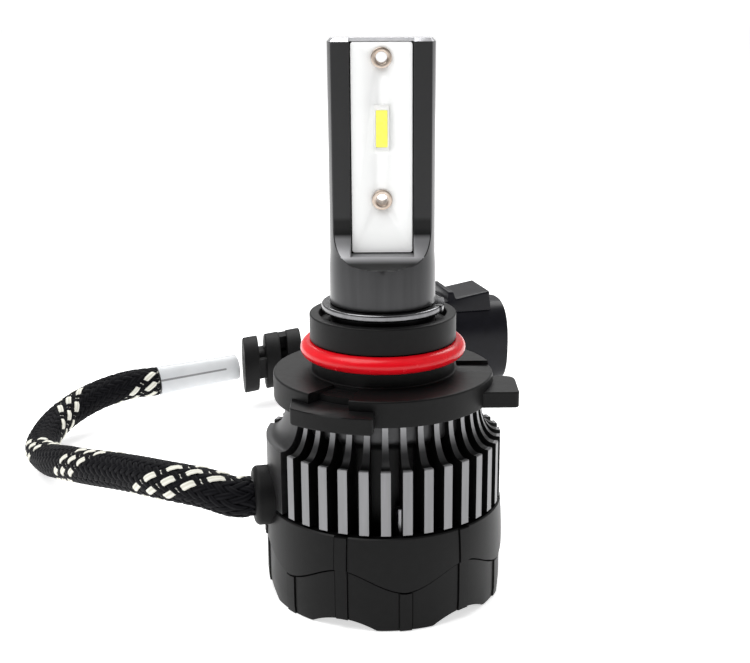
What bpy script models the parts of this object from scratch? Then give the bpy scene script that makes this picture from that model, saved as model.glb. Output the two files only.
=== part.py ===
"""An LED headlight bulb for a 9006-pattern lamp socket, standing on its rear cover.

The emitter column rises from the heat sink through a turnable plastic collar with a sealing
ring. A small fan in the rear cover blows air up between the fins. The lead leaves the left side
and ends in a ribbed boot and a plug behind the bulb. Metres, +Z up, with the bulb's axis on Z
and the floor at z = 0.
"""

import math

import bmesh
import bpy
from mathutils import Matrix, Vector

MM = 0.001
GAP = 0.1 * MM  # between small pieces that touch on the real bulb
FIT = 0.3 * MM  # between larger ones

# Emitter column: a round post milled flat on its front and rear.
COLUMN_RADIUS = 6.9 * MM
COLUMN_TOP = 74.4 * MM
COLUMN_FOOT = 20.3 * MM
FLAT_HALF = 2.7 * MM
FLAT_FOOT = 50.65 * MM
FLAT_FILLET = 5.0 * MM
CUT_REACH = 9.0 * MM
WEB_HALF = 1.5 * MM
POCKET_HALF_WIDTH = 4.05 * MM
POCKET_FOOT = 47.0 * MM
STEM_RADIUS = 7.0 * MM
STEM_TOP = 45.6 * MM
WIRE_BORE = 1.6 * MM
WIRE_RADIUS = 0.6 * MM
WIRE_OFFSET = 0.75 * MM
WIRE_FOOT = 14.5 * MM
POST_OVERLAP = 3.0 * MM
BORE_CLOSES = 2.0 * MM

# Boards, emitters and the two eyelets that clamp the boards to the web.
BOARD_WIDTH = 7.8 * MM
BOARD_THICKNESS = 0.5 * MM
BOARD_TOP = 73.9 * MM
BOARD_FOOT = 47.2 * MM
EMITTER_MIDDLE = 63.2 * MM
EMITTER_SIZE = (1.9 * MM, 0.5 * MM, 5.9 * MM)
PHOSPHOR_SIZE = (1.5 * MM, 0.3 * MM, 4.7 * MM)
EYELET_HEIGHTS = (72.0 * MM, 54.1 * MM)
EYELET_HEAD = 1.3 * MM
EYELET_SHANK = 0.95 * MM
EYELET_BORE = 0.75 * MM
EYELET_RISE = 0.25 * MM

# Retaining clip and the seal in the stem's lower groove.
CLIP_FOOT = 39.2 * MM
CLIP_THICKNESS = 1.0 * MM
CLIP_OUTER = 8.15 * MM
CLIP_INNER = 6.75 * MM
CLIP_GAP_ANGLE = math.radians(24)
CLIP_GAP_AT = math.radians(-4)
CLIP_GROOVE = 6.6 * MM
SEAL_HEIGHT = 30.0 * MM
SEAL_GROOVE = 6.0 * MM
SEAL_WIRE = 0.45 * MM

# Collar with three lugs, which turns about the stem.
COLLAR_BORE = 7.15 * MM
COLLAR_MOUTH = 8.5 * MM
COLLAR_TOP = 38.8 * MM
COLLAR_WALL = 9.8 * MM
COLLAR_NECK = 9.6 * MM
COLLAR_MOUTH_DEPTH = 1.2 * MM
LUG_ROOT = 12.0 * MM
FLANGE_RADIUS = 14.8 * MM
FLANGE_FOOT = 27.4 * MM
FLANGE_TOP = 30.9 * MM
LUG_TOP = 29.55 * MM
FRONT_LUG_RADIUS = 17.5 * MM
FRONT_LUG_LEFT = -11.8 * MM
FRONT_LUG_END = math.radians(-4)
REAR_LUG_ANGLES = (math.radians(158), math.radians(196))
SIDE_LUG_REACH = 17.8 * MM
SIDE_LUG_SPAN = (-7.0 * MM, 0.5 * MM)
SIDE_LUG_CORNER = 1.6 * MM
NOTCH_RADIUS = 12.8 * MM
NOTCH_ANGLES = (math.radians(-40), math.radians(-17))
RING_HEIGHT = 34.08 * MM
RING_RADIUS = 9.95 * MM
RING_WIRE = 1.13 * MM
RING_GROOVE = 8.7 * MM

# Heat sink.
SINK_RADIUS = 16.0 * MM
SINK_FOOT = 10.2 * MM
SINK_SHOULDER = 22.05 * MM
SINK_TOP = 27.0 * MM
SINK_NECK = 13.2 * MM
SINK_CORE = 11.3 * MM
SINK_BORE = 7.1 * MM
SINK_POCKET = 9.4 * MM
SINK_POCKET_TOP = 20.0 * MM
SINK_BOSS = 1.5 * MM
SINK_BOSS_TOP = 18.0 * MM
FINS = 36
FIN_PHASE = math.radians(1)
SLOT_WIDTH = 1.55 * MM
BOSS_ANGLES = (math.radians(-101), math.radians(-57))

# Driver, in the sink's pocket.
DRIVER_FOOT = 10.8 * MM
INDUCTOR_AT = (-4.4 * MM, -2.6 * MM, 0)
INDUCTOR_RADIUS = 2.3 * MM
INDUCTOR_TOP = 15.2 * MM
CAPACITOR_AT = (4.6 * MM, -2.4 * MM, 0)
CAPACITOR_RADIUS = 2.0 * MM
CAPACITOR_TOP = 16.4 * MM
CHIP_LOW = (-2.4 * MM, 2.6 * MM)
CHIP_HIGH = (2.4 * MM, 6.4 * MM)
CHIP_TOP = 13.3 * MM

# Rear cover, with six feet between six arches.
COVER_RADIUS = 16.2 * MM
COVER_WALL = 1.2 * MM
COVER_TOP = 13.0 * MM
COVER_FLOOR = (1.7 * MM, 2.7 * MM)
INTAKE_RADIUS = 11.0 * MM
ARCHES = 6
ARCH_PHASE = math.radians(-20)
ARCH_WIDTH = 9.4 * MM
ARCH_DEPTH = 1.3 * MM
ARCH_CUT = (12.0 * MM, 20.0 * MM)
PILLARS = 3
PILLAR_PHASE = math.radians(10)
PILLAR_CIRCLE = 13.1 * MM
PILLAR_RADIUS = 1.6 * MM
SCREW_SHANK = 0.8 * MM
SCREW_HEAD = 1.35 * MM
SCREW_HEAD_HEIGHT = 0.9 * MM
COVER_SCREW_TOP = 16.0 * MM

# Fan.
FAN_FOOT = 3.0 * MM
FAN_TOP = 9.6 * MM
FAN_OUTER = 11.2 * MM
FAN_INNER = 10.5 * MM
FAN_HUB_PLATE = 4.6 * MM
FAN_PLATE = 0.8 * MM
BEARING_TUBE = 1.9 * MM
BEARING_OUTER = 1.45 * MM
BEARING_TOP = 7.7 * MM
BEARING_SEAT = 0.6 * MM
STRUT_HALF = 0.7 * MM
SHAFT_RADIUS = 0.6 * MM
ROTOR_RADIUS = 5.8 * MM
ROTOR_WALL = 0.4 * MM
BLADES = 7
BLADE_TIP = 10.1 * MM
BLADE_HALF = 0.25 * MM
BLADE_SWINGS = (math.radians(30), math.radians(24), math.radians(20))
FAN_EARS = 3
EAR_CIRCLE = 12.4 * MM
EAR_RADIUS = 1.6 * MM
EAR_HEIGHT = 1.4 * MM
STATOR_ARMS = 4
STATOR_SPAN = (1.5 * MM, 3.1 * MM)
STATOR_CORE = 2.5 * MM
STATOR_REACH = 4.4 * MM
STATOR_ARM_HALF = 0.5 * MM
COIL_HALF = 1.05 * MM
COIL_SPAN = (2.85 * MM, 3.95 * MM)
COIL_RISE = 0.5 * MM
FAN_BOARD = 4.3 * MM

# Cable outlet: the gland lies square to a side face of the sink, turned a little to the front.
GLAND_ANGLE = math.radians(-78)
GLAND_HEIGHT = 14.0 * MM
GLAND_RADIUS = 4.05 * MM
GLAND_FACE = 18.1 * MM
GLAND_SHANK = 2.9 * MM
GLAND_BORE = 1.6 * MM
GLAND_SEAT = 15.3 * MM
GLAND_INNER_END = 11.9 * MM

# Lead: a braided sleeve, then a plain sleeve, a ribbed boot and the plug.
LEAD_RADIUS = 2.75 * MM
LABEL_RADIUS = 2.85 * MM
LEAD_ROUTE_MM = (
    (-24.6, -2.2, 14.5),
    (-30.8, 2.0, 14.0),
    (-37.8, 9.8, 12.1),
    (-44.8, 17.8, 9.8),
    (-50.6, 26.0, 7.4),
    (-55.7, 34.6, 4.8),
    (-60.1, 45.2, 3.4),
    (-59.4, 56.0, 4.5),
    (-55.0, 62.6, 6.3),
    (-49.2, 66.2, 7.6),
)
LABEL_ENDS_MM = ((-43.4, 68.5, 7.8), (-29.05, 75.22, 8.53))
LEAD_POINT_STEP = 10.0 * MM
BOOT_CLEARANCE = 1.6 * MM
BOOT_END_CLEARANCE = 1.7 * MM
BOOT_CORE = 3.0 * MM
BOOT_DISC = 5.5 * MM
BOOT_DISCS = 3
BOOT_DISC_THICKNESS = 3.2 * MM
BOOT_DISC_TURN = math.radians(10)

# Plug: its own frame has +X out of its mouth.
PLUG_BACK_MM = (-11.5, 86.4, 8.9)
PLUG_TURN = math.radians(15)
PLUG_LENGTH = 37.0 * MM
PLUG_HEIGHT = 17.6 * MM
PLUG_WIDTH = 15.0 * MM
PLUG_WALL = 1.5 * MM
PLUG_CAVITY = 17.0 * MM
OVAL_POWER = 2.6
PLUG_RIB_MM = (
    (12.0, -1.2),
    (12.0, 1.0),
    (24.4, 1.0),
    (24.4, 2.9),
    (25.5, 2.9),
    (26.0, 1.4),
    (33.3, 2.6),
    (33.3, -1.2),
)
PLUG_RIB_WIDTH = 11.0 * MM
PIN_SPACING = 6.0 * MM
PIN_SIZE = (13.0 * MM, 2.0 * MM, 0.8 * MM)
PIN_ROOT = 6.0 * MM
PIN_SLOT = 2.2 * MM
WIRE_HOLE = (9.0 * MM, 4.0 * MM)
WIRE_HOLE_DEPTH = 12.0 * MM
SEAL_OFFSET = 2.2 * MM
SEAL_RADIUS = 1.7 * MM
SEAL_SPAN = (0.5 * MM, 5.0 * MM)

BLACK_PLASTIC = ("black_plastic", (0.012, 0.012, 0.013), 0.42, 0.0)
DARK_ALUMINIUM = ("dark_aluminium", (0.07, 0.07, 0.075), 0.38, 0.9)
SINK_BLACK = ("sink_black", (0.02, 0.02, 0.022), 0.4, 0.8)
WHITE_BOARD = ("white_board", (0.85, 0.85, 0.86), 0.5, 0.0)
PHOSPHOR = ("phosphor", (0.9, 0.85, 0.12), 0.5, 0.0)
TINNED = ("tinned_brass", (0.55, 0.47, 0.36), 0.35, 1.0)
CLIP_STEEL = ("clip_steel", (0.12, 0.12, 0.13), 0.25, 1.0)
RED_RUBBER = ("red_rubber", (0.75, 0.01, 0.02), 0.25, 0.0)
BLACK_RUBBER = ("black_rubber", (0.015, 0.015, 0.015), 0.6, 0.0)
GREEN_BOARD = ("green_board", (0.02, 0.12, 0.05), 0.4, 0.0)
FERRITE = ("ferrite", (0.05, 0.05, 0.05), 0.7, 0.0)
COPPER = ("copper", (0.7, 0.3, 0.12), 0.3, 1.0)
STEEL = ("steel", (0.6, 0.6, 0.62), 0.3, 1.0)
BRONZE = ("bronze", (0.5, 0.35, 0.16), 0.4, 1.0)
BRAID = ("black_braid", (0.02, 0.02, 0.02), 0.7, 0.0)
WHITE_SLEEVE = ("white_sleeve", (0.82, 0.82, 0.84), 0.4, 0.0)
RED_WIRE = ("red_wire", (0.6, 0.02, 0.02), 0.5, 0.0)

PARTS = "headlight_bulb"
CUTTERS = "cutters"


def clear_scene():
    for obj in list(bpy.data.objects):
        bpy.data.objects.remove(obj, do_unlink=True)
    for name in (PARTS, CUTTERS):
        bpy.context.scene.collection.children.link(bpy.data.collections.new(name))


def material(spec):
    name, colour, roughness, metallic = spec
    found = bpy.data.materials.get(name)
    if found:
        return found
    made = bpy.data.materials.new(name)
    made.use_nodes = True
    shader = made.node_tree.nodes["Principled BSDF"]
    shader.inputs["Base Color"].default_value = (*colour, 1)
    shader.inputs["Roughness"].default_value = roughness
    shader.inputs["Metallic"].default_value = metallic
    return made


def link(name, data, spec):
    """A part, or a cutter where spec is None."""
    obj = bpy.data.objects.new(name, data)
    bpy.data.collections[PARTS if spec else CUTTERS].objects.link(obj)
    if spec:
        data.materials.append(material(spec))
    else:
        obj.hide_render = True
        obj.display_type = "WIRE"
    return obj


def mesh_of(name, form, spec, smooth=False):
    mesh = bpy.data.meshes.new(name)
    form.to_mesh(mesh)
    form.free()
    if smooth:
        mesh.shade_smooth()
        mesh.set_sharp_from_angle(angle=math.radians(35))
    return link(name, mesh, spec)


def box(name, low, high, spec=None):
    low, high = Vector(low), Vector(high)
    form = bmesh.new()
    bmesh.ops.create_cube(form, size=1)
    size = Matrix.Diagonal((*(high - low), 1))
    bmesh.ops.transform(form, matrix=Matrix.Translation((low + high) / 2) @ size, verts=form.verts)
    return mesh_of(name, form, spec)


def rod(name, radius, low, high, spec=None, segments=24, turn=None):
    """A cylinder along Z between two heights, or turned by a matrix."""
    form = bmesh.new()
    bmesh.ops.create_cone(
        form, cap_ends=True, segments=segments, radius1=radius, radius2=radius, depth=high - low
    )
    place = Matrix.Translation((0, 0, (low + high) / 2))
    bmesh.ops.transform(form, matrix=(turn or Matrix()) @ place, verts=form.verts)
    return mesh_of(name, form, spec, smooth=True)


def turned(name, profile, spec=None, steps=48):
    """A closed ring turned about Z, from a profile of (radius, height) that runs down its outer side."""
    mesh = bpy.data.meshes.new(name)
    points = [(radius, 0, height) for radius, height in profile]
    count = len(points)
    mesh.from_pydata(points, [(i, (i + 1) % count) for i in range(count)], [])
    obj = link(name, mesh, spec)
    screw = obj.modifiers.new("turn", "SCREW")
    screw.steps = screw.render_steps = steps
    screw.use_merge_vertices = True
    screw.merge_threshold = 0.01 * MM
    screw.use_smooth_shade = False
    return obj


def ring(name, inner, outer, low, high, spec=None, steps=48):
    profile = ((inner, high), (outer, high), (outer, low), (inner, low))
    return turned(name, profile, spec, steps)


def seal_ring(name, radius, wire, height, spec, steps, sides=10):
    angles = [-2 * math.pi * i / sides for i in range(sides)]
    profile = [(radius + wire * math.cos(a), height + wire * math.sin(a)) for a in angles]
    return turned(name, profile, spec, steps)


def plate(name, outline, low, high, spec=None):
    """A flat outline of (x, y) points, made solid between two heights."""
    curve = bpy.data.curves.new(name, "CURVE")
    curve.dimensions = "2D"
    curve.fill_mode = "BOTH"
    curve.extrude = (high - low) / 2
    spline = curve.splines.new("POLY")
    spline.points.add(len(outline) - 1)
    for point, (x, y) in zip(spline.points, outline):
        point.co = (x, y, 0, 1)
    spline.use_cyclic_u = True
    guide = link(name + "_outline", curve, None)
    guide.location.z = (low + high) / 2
    return as_mesh(guide, name, spec)


def as_mesh(curve_object, name, spec):
    """The curve's evaluated shape as a closed mesh. The curve is removed."""
    bpy.context.view_layer.update()
    graph = bpy.context.evaluated_depsgraph_get()
    mesh = bpy.data.meshes.new_from_object(curve_object.evaluated_get(graph))
    mesh.materials.clear()
    form = bmesh.new()
    form.from_mesh(mesh)
    bmesh.ops.remove_doubles(form, verts=form.verts, dist=0.001 * MM)
    bmesh.ops.transform(form, matrix=curve_object.matrix_world, verts=form.verts)
    bmesh.ops.recalc_face_normals(form, faces=form.faces)
    form.to_mesh(mesh)
    form.free()
    bpy.data.objects.remove(curve_object, do_unlink=True)
    return link(name, mesh, spec)


def combine(obj, other, operation):
    modifier = obj.modifiers.new(operation.lower(), "BOOLEAN")
    modifier.operation = operation
    modifier.solver = "EXACT"
    modifier.object = other


def cut(obj, *cutters):
    for cutter in cutters:
        combine(obj, cutter, "DIFFERENCE")


def unite(obj, *others):
    for other in others:
        combine(obj, other, "UNION")


def polar(radius, angle):
    """A point on a circle; angle 0 faces the front (-Y) and grows towards +X."""
    return radius * math.sin(angle), -radius * math.cos(angle)


def arc(radius, start, end, steps):
    return [polar(radius, start + (end - start) * i / steps) for i in range(steps + 1)]


def sector(inner, outer, start, end, steps=6):
    return arc(outer, start, end, steps) + arc(inner, end, start, steps)


def around(count, phase):
    return [phase + 2 * math.pi * i / count for i in range(count)]


def radial_boxes(name, angles, half_width, inner, outer, low, high):
    """One cutter of several boxes, each lying along a radius."""
    form = bmesh.new()
    size = Vector((2 * half_width, outer - inner, high - low))
    for angle in angles:
        made = bmesh.ops.create_cube(form, size=1)
        place = Matrix.Translation((0, -(inner + outer) / 2, (low + high) / 2))
        turn = Matrix.Rotation(angle, 4, "Z")
        matrix = turn @ place @ Matrix.Diagonal((*size, 1))
        bmesh.ops.transform(form, matrix=matrix, verts=made["verts"])
    return mesh_of(name, form, None)


# ---------------------------------------------------------------- emitter column


def emitter_column():
    groove_top = CLIP_FOOT + CLIP_THICKNESS + GAP
    profile = (
        (WIRE_BORE, STEM_TOP - BORE_CLOSES),
        (STEM_RADIUS, STEM_TOP - BORE_CLOSES),
        (STEM_RADIUS, groove_top),
        (CLIP_GROOVE, groove_top),
        (CLIP_GROOVE, CLIP_FOOT - GAP),
        (STEM_RADIUS, CLIP_FOOT - GAP),
        (STEM_RADIUS, SEAL_HEIGHT + SEAL_WIRE + GAP),
        (SEAL_GROOVE, SEAL_HEIGHT + SEAL_WIRE + GAP),
        (SEAL_GROOVE, SEAL_HEIGHT - SEAL_WIRE - GAP),
        (STEM_RADIUS, SEAL_HEIGHT - SEAL_WIRE - GAP),
        (STEM_RADIUS, COLUMN_FOOT),
        (WIRE_BORE, COLUMN_FOOT),
    )
    column = turned("emitter_column", profile, DARK_ALUMINIUM, steps=36)
    post = rod("column_post", COLUMN_RADIUS, STEM_TOP - POST_OVERLAP, COLUMN_TOP, segments=36)
    unite(column, post)
    for side in (-1, 1):
        cut(column, *milled_side(side))
    for index, height in enumerate(EYELET_HEIGHTS):
        cut(column, eyelet_hole(f"web_hole_{index}", height))


def eyelet_hole(name, height):
    """A cutter along Y for an eyelet's shank."""
    turn = Matrix.Translation((0, 0, height)) @ Matrix.Rotation(math.pi / 2, 4, "X")
    return rod(name, EYELET_SHANK + GAP, -COLUMN_RADIUS, COLUMN_RADIUS, segments=16, turn=turn)


def milled_side(side):
    """The cutters of one side: the flat with the fillet at its foot, and the pocket for the board."""
    name = "front" if side < 0 else "rear"
    reach = FLAT_HALF + FLAT_FILLET
    quarter = [math.pi / 2 * i / 8 for i in range(9)]
    fillet = [
        (reach - FLAT_FILLET * math.cos(a), FLAT_FOOT - FLAT_FILLET * math.sin(a)) for a in quarter
    ]
    outline = [(FLAT_HALF, COLUMN_TOP + MM), *fillet, (reach, COLUMN_TOP + MM)]
    flat = plate(f"flat_{name}", outline, -CUT_REACH, CUT_REACH)
    flat.matrix_world = Matrix(((0, 0, 1, 0), (side, 0, 0, 0), (0, 1, 0, 0), (0, 0, 0, 1)))
    near, far = sorted((side * WEB_HALF, side * CUT_REACH))
    low = (-POCKET_HALF_WIDTH, near, POCKET_FOOT)
    pocket = box(f"pocket_{name}", low, (POCKET_HALF_WIDTH, far, COLUMN_TOP + 2 * MM))
    return flat, pocket


def board_and_emitter(side):
    name = "front" if side < 0 else "rear"

    def layer(near, far, half_width, low, high, node, spec=None):
        edges = sorted((side * near, side * far))
        return box(node, (-half_width, edges[0], low), (half_width, edges[1], high), spec)

    inner = WEB_HALF + GAP
    outer = inner + BOARD_THICKNESS
    span = (BOARD_WIDTH / 2, BOARD_FOOT, BOARD_TOP)
    board = layer(inner, outer, *span, f"led_board_{name}", WHITE_BOARD)
    for index, height in enumerate(EYELET_HEIGHTS):
        cut(board, eyelet_hole(f"board_{name}_hole_{index}", height))
    width, thickness, height = EMITTER_SIZE
    low, high = EMITTER_MIDDLE - height / 2, EMITTER_MIDDLE + height / 2
    seat = outer + GAP / 2
    frame = layer(seat, seat + thickness, width / 2, low, high, f"led_frame_{name}", WHITE_BOARD)
    window_width, depth, window_height = PHOSPHOR_SIZE
    low, high = EMITTER_MIDDLE - window_height / 2, EMITTER_MIDDLE + window_height / 2
    top = seat + thickness
    window = layer(top - depth, top + MM, window_width / 2, low, high, f"window_{name}")
    cut(frame, window)
    margin = GAP / 2
    phosphor = (top - depth + margin, top, window_width / 2 - margin, low + margin, high - margin)
    layer(*phosphor, f"led_phosphor_{name}", PHOSPHOR)


def eyelet(name, height):
    """A tubular rivet along Y, with a rolled head on each board."""
    face = WEB_HALF + GAP + BOARD_THICKNESS + GAP / 2
    head = face + EYELET_RISE
    profile = (
        (EYELET_BORE, head),
        (EYELET_HEAD - GAP, head),
        (EYELET_HEAD, face + GAP),
        (EYELET_HEAD, face),
        (EYELET_SHANK, face),
        (EYELET_SHANK, -face),
        (EYELET_HEAD, -face),
        (EYELET_HEAD, -face - GAP),
        (EYELET_HEAD - GAP, -head),
        (EYELET_BORE, -head),
    )
    made = turned(name, profile, TINNED, steps=12)
    made.rotation_euler.x = math.pi / 2
    made.location.z = height


def retaining_clip():
    half = CLIP_GAP_ANGLE / 2
    middle = math.pi / 2 + CLIP_GAP_AT
    outline = sector(CLIP_INNER, CLIP_OUTER, middle + half, middle + 2 * math.pi - half, 40)
    plate("retaining_clip", outline, CLIP_FOOT, CLIP_FOOT + CLIP_THICKNESS, CLIP_STEEL)


def emitter_leads():
    """Two insulated wires from the driver up the stem's bore to the boards."""
    for side, name in ((-1, "emitter_lead_left"), (1, "emitter_lead_right")):
        place = Matrix.Translation((side * WIRE_OFFSET, 0, 0))
        top = STEM_TOP - POST_OVERLAP - FIT
        rod(name, WIRE_RADIUS, WIRE_FOOT, top, RED_WIRE, segments=8, turn=place)


# ---------------------------------------------------------------- collar


def adapter_collar():
    profile = (
        (COLLAR_MOUTH, COLLAR_TOP),
        (COLLAR_WALL, COLLAR_TOP),
        (COLLAR_WALL, RING_HEIGHT + RING_WIRE + GAP),
        (RING_GROOVE, RING_HEIGHT + RING_WIRE + GAP),
        (RING_GROOVE, RING_HEIGHT - RING_WIRE - GAP),
        (COLLAR_NECK, RING_HEIGHT - RING_WIRE - GAP),
        (COLLAR_NECK, FLANGE_TOP),
        (FLANGE_RADIUS, FLANGE_TOP),
        (FLANGE_RADIUS, FLANGE_FOOT),
        (COLLAR_BORE, FLANGE_FOOT),
        (COLLAR_BORE, COLLAR_TOP - COLLAR_MOUTH_DEPTH),
        (COLLAR_MOUTH, COLLAR_TOP - COLLAR_MOUTH_DEPTH),
    )
    collar = turned("adapter_collar", profile, BLACK_PLASTIC, steps=40)
    front = plate("lug_front", front_lug_outline(), FLANGE_FOOT, LUG_TOP)
    side = plate("lug_side", side_lug_outline(), FLANGE_FOOT, LUG_TOP)
    rear_outline = sector(LUG_ROOT, FRONT_LUG_RADIUS, *REAR_LUG_ANGLES)
    rear = plate("lug_rear", rear_outline, FLANGE_FOOT, LUG_TOP)
    unite(collar, front, side, rear)
    notch = sector(NOTCH_RADIUS, FLANGE_RADIUS + MM, *NOTCH_ANGLES, 4)
    cut(collar, plate("flange_notch", notch, LUG_TOP, FLANGE_TOP + MM))


def front_lug_outline():
    """The wide lug: its left end is cut straight, parallel to Y."""
    corner = math.asin(FRONT_LUG_LEFT / FRONT_LUG_RADIUS)
    rim = arc(FRONT_LUG_RADIUS, corner, FRONT_LUG_END, 8)
    return rim + [polar(LUG_ROOT, FRONT_LUG_END), (FRONT_LUG_LEFT, -8 * MM)]


def side_lug_outline():
    """The narrow lug, which reaches out to the right."""
    reach, root, small = SIDE_LUG_REACH, LUG_ROOT - MM, 0.6 * MM
    front, back = SIDE_LUG_SPAN
    soft = SIDE_LUG_CORNER
    turn = [math.radians(a) for a in (0, 30, 60, 90)]
    rounded = [(reach - soft + soft * math.cos(a), back - soft + soft * math.sin(a)) for a in turn]
    return [(root, front), (reach - small, front), (reach, front + small), *rounded, (root, back)]


# ---------------------------------------------------------------- heat sink and driver


def sink_profile():
    """From the shoulder the fins' tops sweep in and up to the neck, along a concave arc."""
    rise, reach = SINK_TOP - SINK_SHOULDER, SINK_RADIUS - 0.5 * MM - SINK_NECK
    quarter = [math.pi / 2 * i / 4 for i in range(5)]
    sweep = [
        (SINK_NECK + reach * (1 - math.cos(a)), SINK_TOP - rise * math.sin(a)) for a in quarter
    ]
    return (
        (SINK_BORE, SINK_TOP),
        *sweep,
        (SINK_RADIUS, SINK_SHOULDER),
        (SINK_RADIUS, COVER_TOP + FIT),
        (COVER_RADIUS - COVER_WALL - FIT, COVER_TOP + FIT),
        (COVER_RADIUS - COVER_WALL - FIT, SINK_FOOT),
        (SINK_POCKET, SINK_FOOT),
        (SINK_POCKET, SINK_POCKET_TOP),
        (SINK_BORE, SINK_POCKET_TOP),
    )


def heat_sink():
    sink = turned("heat_sink", sink_profile(), SINK_BLACK, steps=FINS)
    sink.rotation_euler.z = FIN_PHASE + math.pi / FINS
    slots_at = [a + math.pi / FINS for a in around(FINS, FIN_PHASE)]
    left, right = (math.tau + a for a in BOSS_ANGLES)
    slots_at = [a for a in slots_at if not left < a % math.tau < right]
    slots = (SLOT_WIDTH / 2, SINK_CORE, SINK_RADIUS + MM, SINK_FOOT - MM, SINK_TOP + MM)
    cut(sink, radial_boxes("fin_slots", slots_at, *slots))
    cut(sink, gland_cutter("sink_gland_hole"))
    for index, angle in enumerate(around(PILLARS, PILLAR_PHASE)):
        place = Matrix.Translation((*polar(PILLAR_CIRCLE, angle), 0))
        foot, bore = SINK_FOOT + GAP, SCREW_SHANK + GAP
        unite(sink, rod(f"sink_boss_{index}", SINK_BOSS, foot, SINK_BOSS_TOP, segments=16, turn=place))
        depth = (SINK_FOOT - MM, COVER_SCREW_TOP + FIT)
        cut(sink, rod(f"sink_thread_{index}", bore, *depth, segments=12, turn=place))


def driver():
    """A round board in the sink's pocket, with its coil, capacitor and chip."""
    top = DRIVER_FOOT + MM
    rod("driver_board", SINK_POCKET - FIT, DRIVER_FOOT, top, GREEN_BOARD, 36)
    coil = Matrix.Translation(INDUCTOR_AT)
    rod("driver_inductor", INDUCTOR_RADIUS, top + GAP, INDUCTOR_TOP, FERRITE, 16, coil)
    can = Matrix.Translation(CAPACITOR_AT)
    rod("driver_capacitor", CAPACITOR_RADIUS, top + GAP, CAPACITOR_TOP, STEEL, 16, can)
    box("driver_chip", (*CHIP_LOW, top + GAP), (*CHIP_HIGH, CHIP_TOP), FERRITE)


# ---------------------------------------------------------------- rear cover and fan


def rear_cover():
    inner = COVER_RADIUS - COVER_WALL
    floor_low, floor_high = COVER_FLOOR
    profile = (
        (inner, COVER_TOP),
        (COVER_RADIUS, COVER_TOP),
        (COVER_RADIUS, 0.2 * MM),
        (COVER_RADIUS - 0.2 * MM, 0),
        (inner, 0),
        (inner, floor_low),
        (INTAKE_RADIUS, floor_low),
        (INTAKE_RADIUS, floor_high),
        (inner, floor_high),
    )
    cover = turned("rear_cover", profile, BLACK_PLASTIC, steps=48)
    drop = (ARCH_WIDTH / 2) ** 2 / (2 * ARCH_DEPTH) + ARCH_DEPTH / 2
    lay = Matrix.Translation((0, 0, ARCH_DEPTH - drop)) @ Matrix.Rotation(math.pi / 2, 4, "X")
    for index, angle in enumerate(around(ARCHES, ARCH_PHASE)):
        turn = Matrix.Rotation(angle, 4, "Z") @ lay
        cut(cover, rod(f"arch_{index}", drop, *ARCH_CUT, segments=48, turn=turn))
    for index, angle in enumerate(around(PILLARS, PILLAR_PHASE)):
        place = Matrix.Translation((*polar(PILLAR_CIRCLE, angle), 0))
        foot = (floor_low + floor_high) / 2
        pillar = rod(f"pillar_{index}", PILLAR_RADIUS, foot, SINK_FOOT - FIT, segments=16, turn=place)
        unite(cover, pillar)
        hole = SCREW_SHANK + GAP
        cut(cover, rod(f"pillar_hole_{index}", hole, 0, SINK_FOOT, segments=12, turn=place))
        screw_of(f"cover_screw_{index + 1}", place, floor_low - GAP, COVER_SCREW_TOP)
    cut(cover, gland_cutter("cover_gland_hole"))


def screw_of(name, place, head_top, end):
    """A round-head screw pointing up, whose head lies under head_top."""
    screw = rod(name, SCREW_HEAD, head_top - SCREW_HEAD_HEIGHT, head_top, STEEL, 16, place)
    unite(screw, rod(name + "_shank", SCREW_SHANK, head_top - GAP, end, segments=12, turn=place))


def fan_frame():
    top_of_plate = FAN_FOOT + FAN_PLATE
    frame = ring("fan_frame", FAN_INNER, FAN_OUTER, FAN_FOOT, FAN_TOP, BLACK_PLASTIC, steps=36)
    hub = rod("fan_hub_plate", FAN_HUB_PLATE, FAN_FOOT, top_of_plate, segments=24)
    tube = rod("bearing_tube", BEARING_TUBE, FAN_FOOT, BEARING_TOP, segments=20)
    ears_at = around(FAN_EARS, PILLAR_PHASE + math.pi / FAN_EARS)
    reach = (FAN_HUB_PLATE - MM, FAN_INNER + FIT)
    struts = radial_boxes("fan_struts", ears_at, STRUT_HALF, *reach, FAN_FOOT, top_of_plate)
    unite(frame, struts, hub, tube)
    seat = (BEARING_OUTER + GAP / 2, FAN_FOOT + BEARING_SEAT - GAP, FAN_TOP)
    cut(frame, rod("bearing_hole", *seat, segments=20))
    ear_top, bore = FAN_FOOT + EAR_HEIGHT, SCREW_SHANK + GAP
    for index, angle in enumerate(ears_at):
        place = Matrix.Translation((*polar(EAR_CIRCLE, angle), 0))
        unite(frame, rod(f"ear_{index}", EAR_RADIUS, FAN_FOOT, ear_top, segments=16, turn=place))
        hole = rod(f"ear_hole_{index}", bore, 0, ear_top + MM, segments=12, turn=place)
        cut(frame, hole)
        cut(bpy.data.objects["rear_cover"], hole)
        screw_of(f"fan_screw_{index + 1}", place, COVER_FLOOR[0] - GAP, ear_top)


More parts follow.
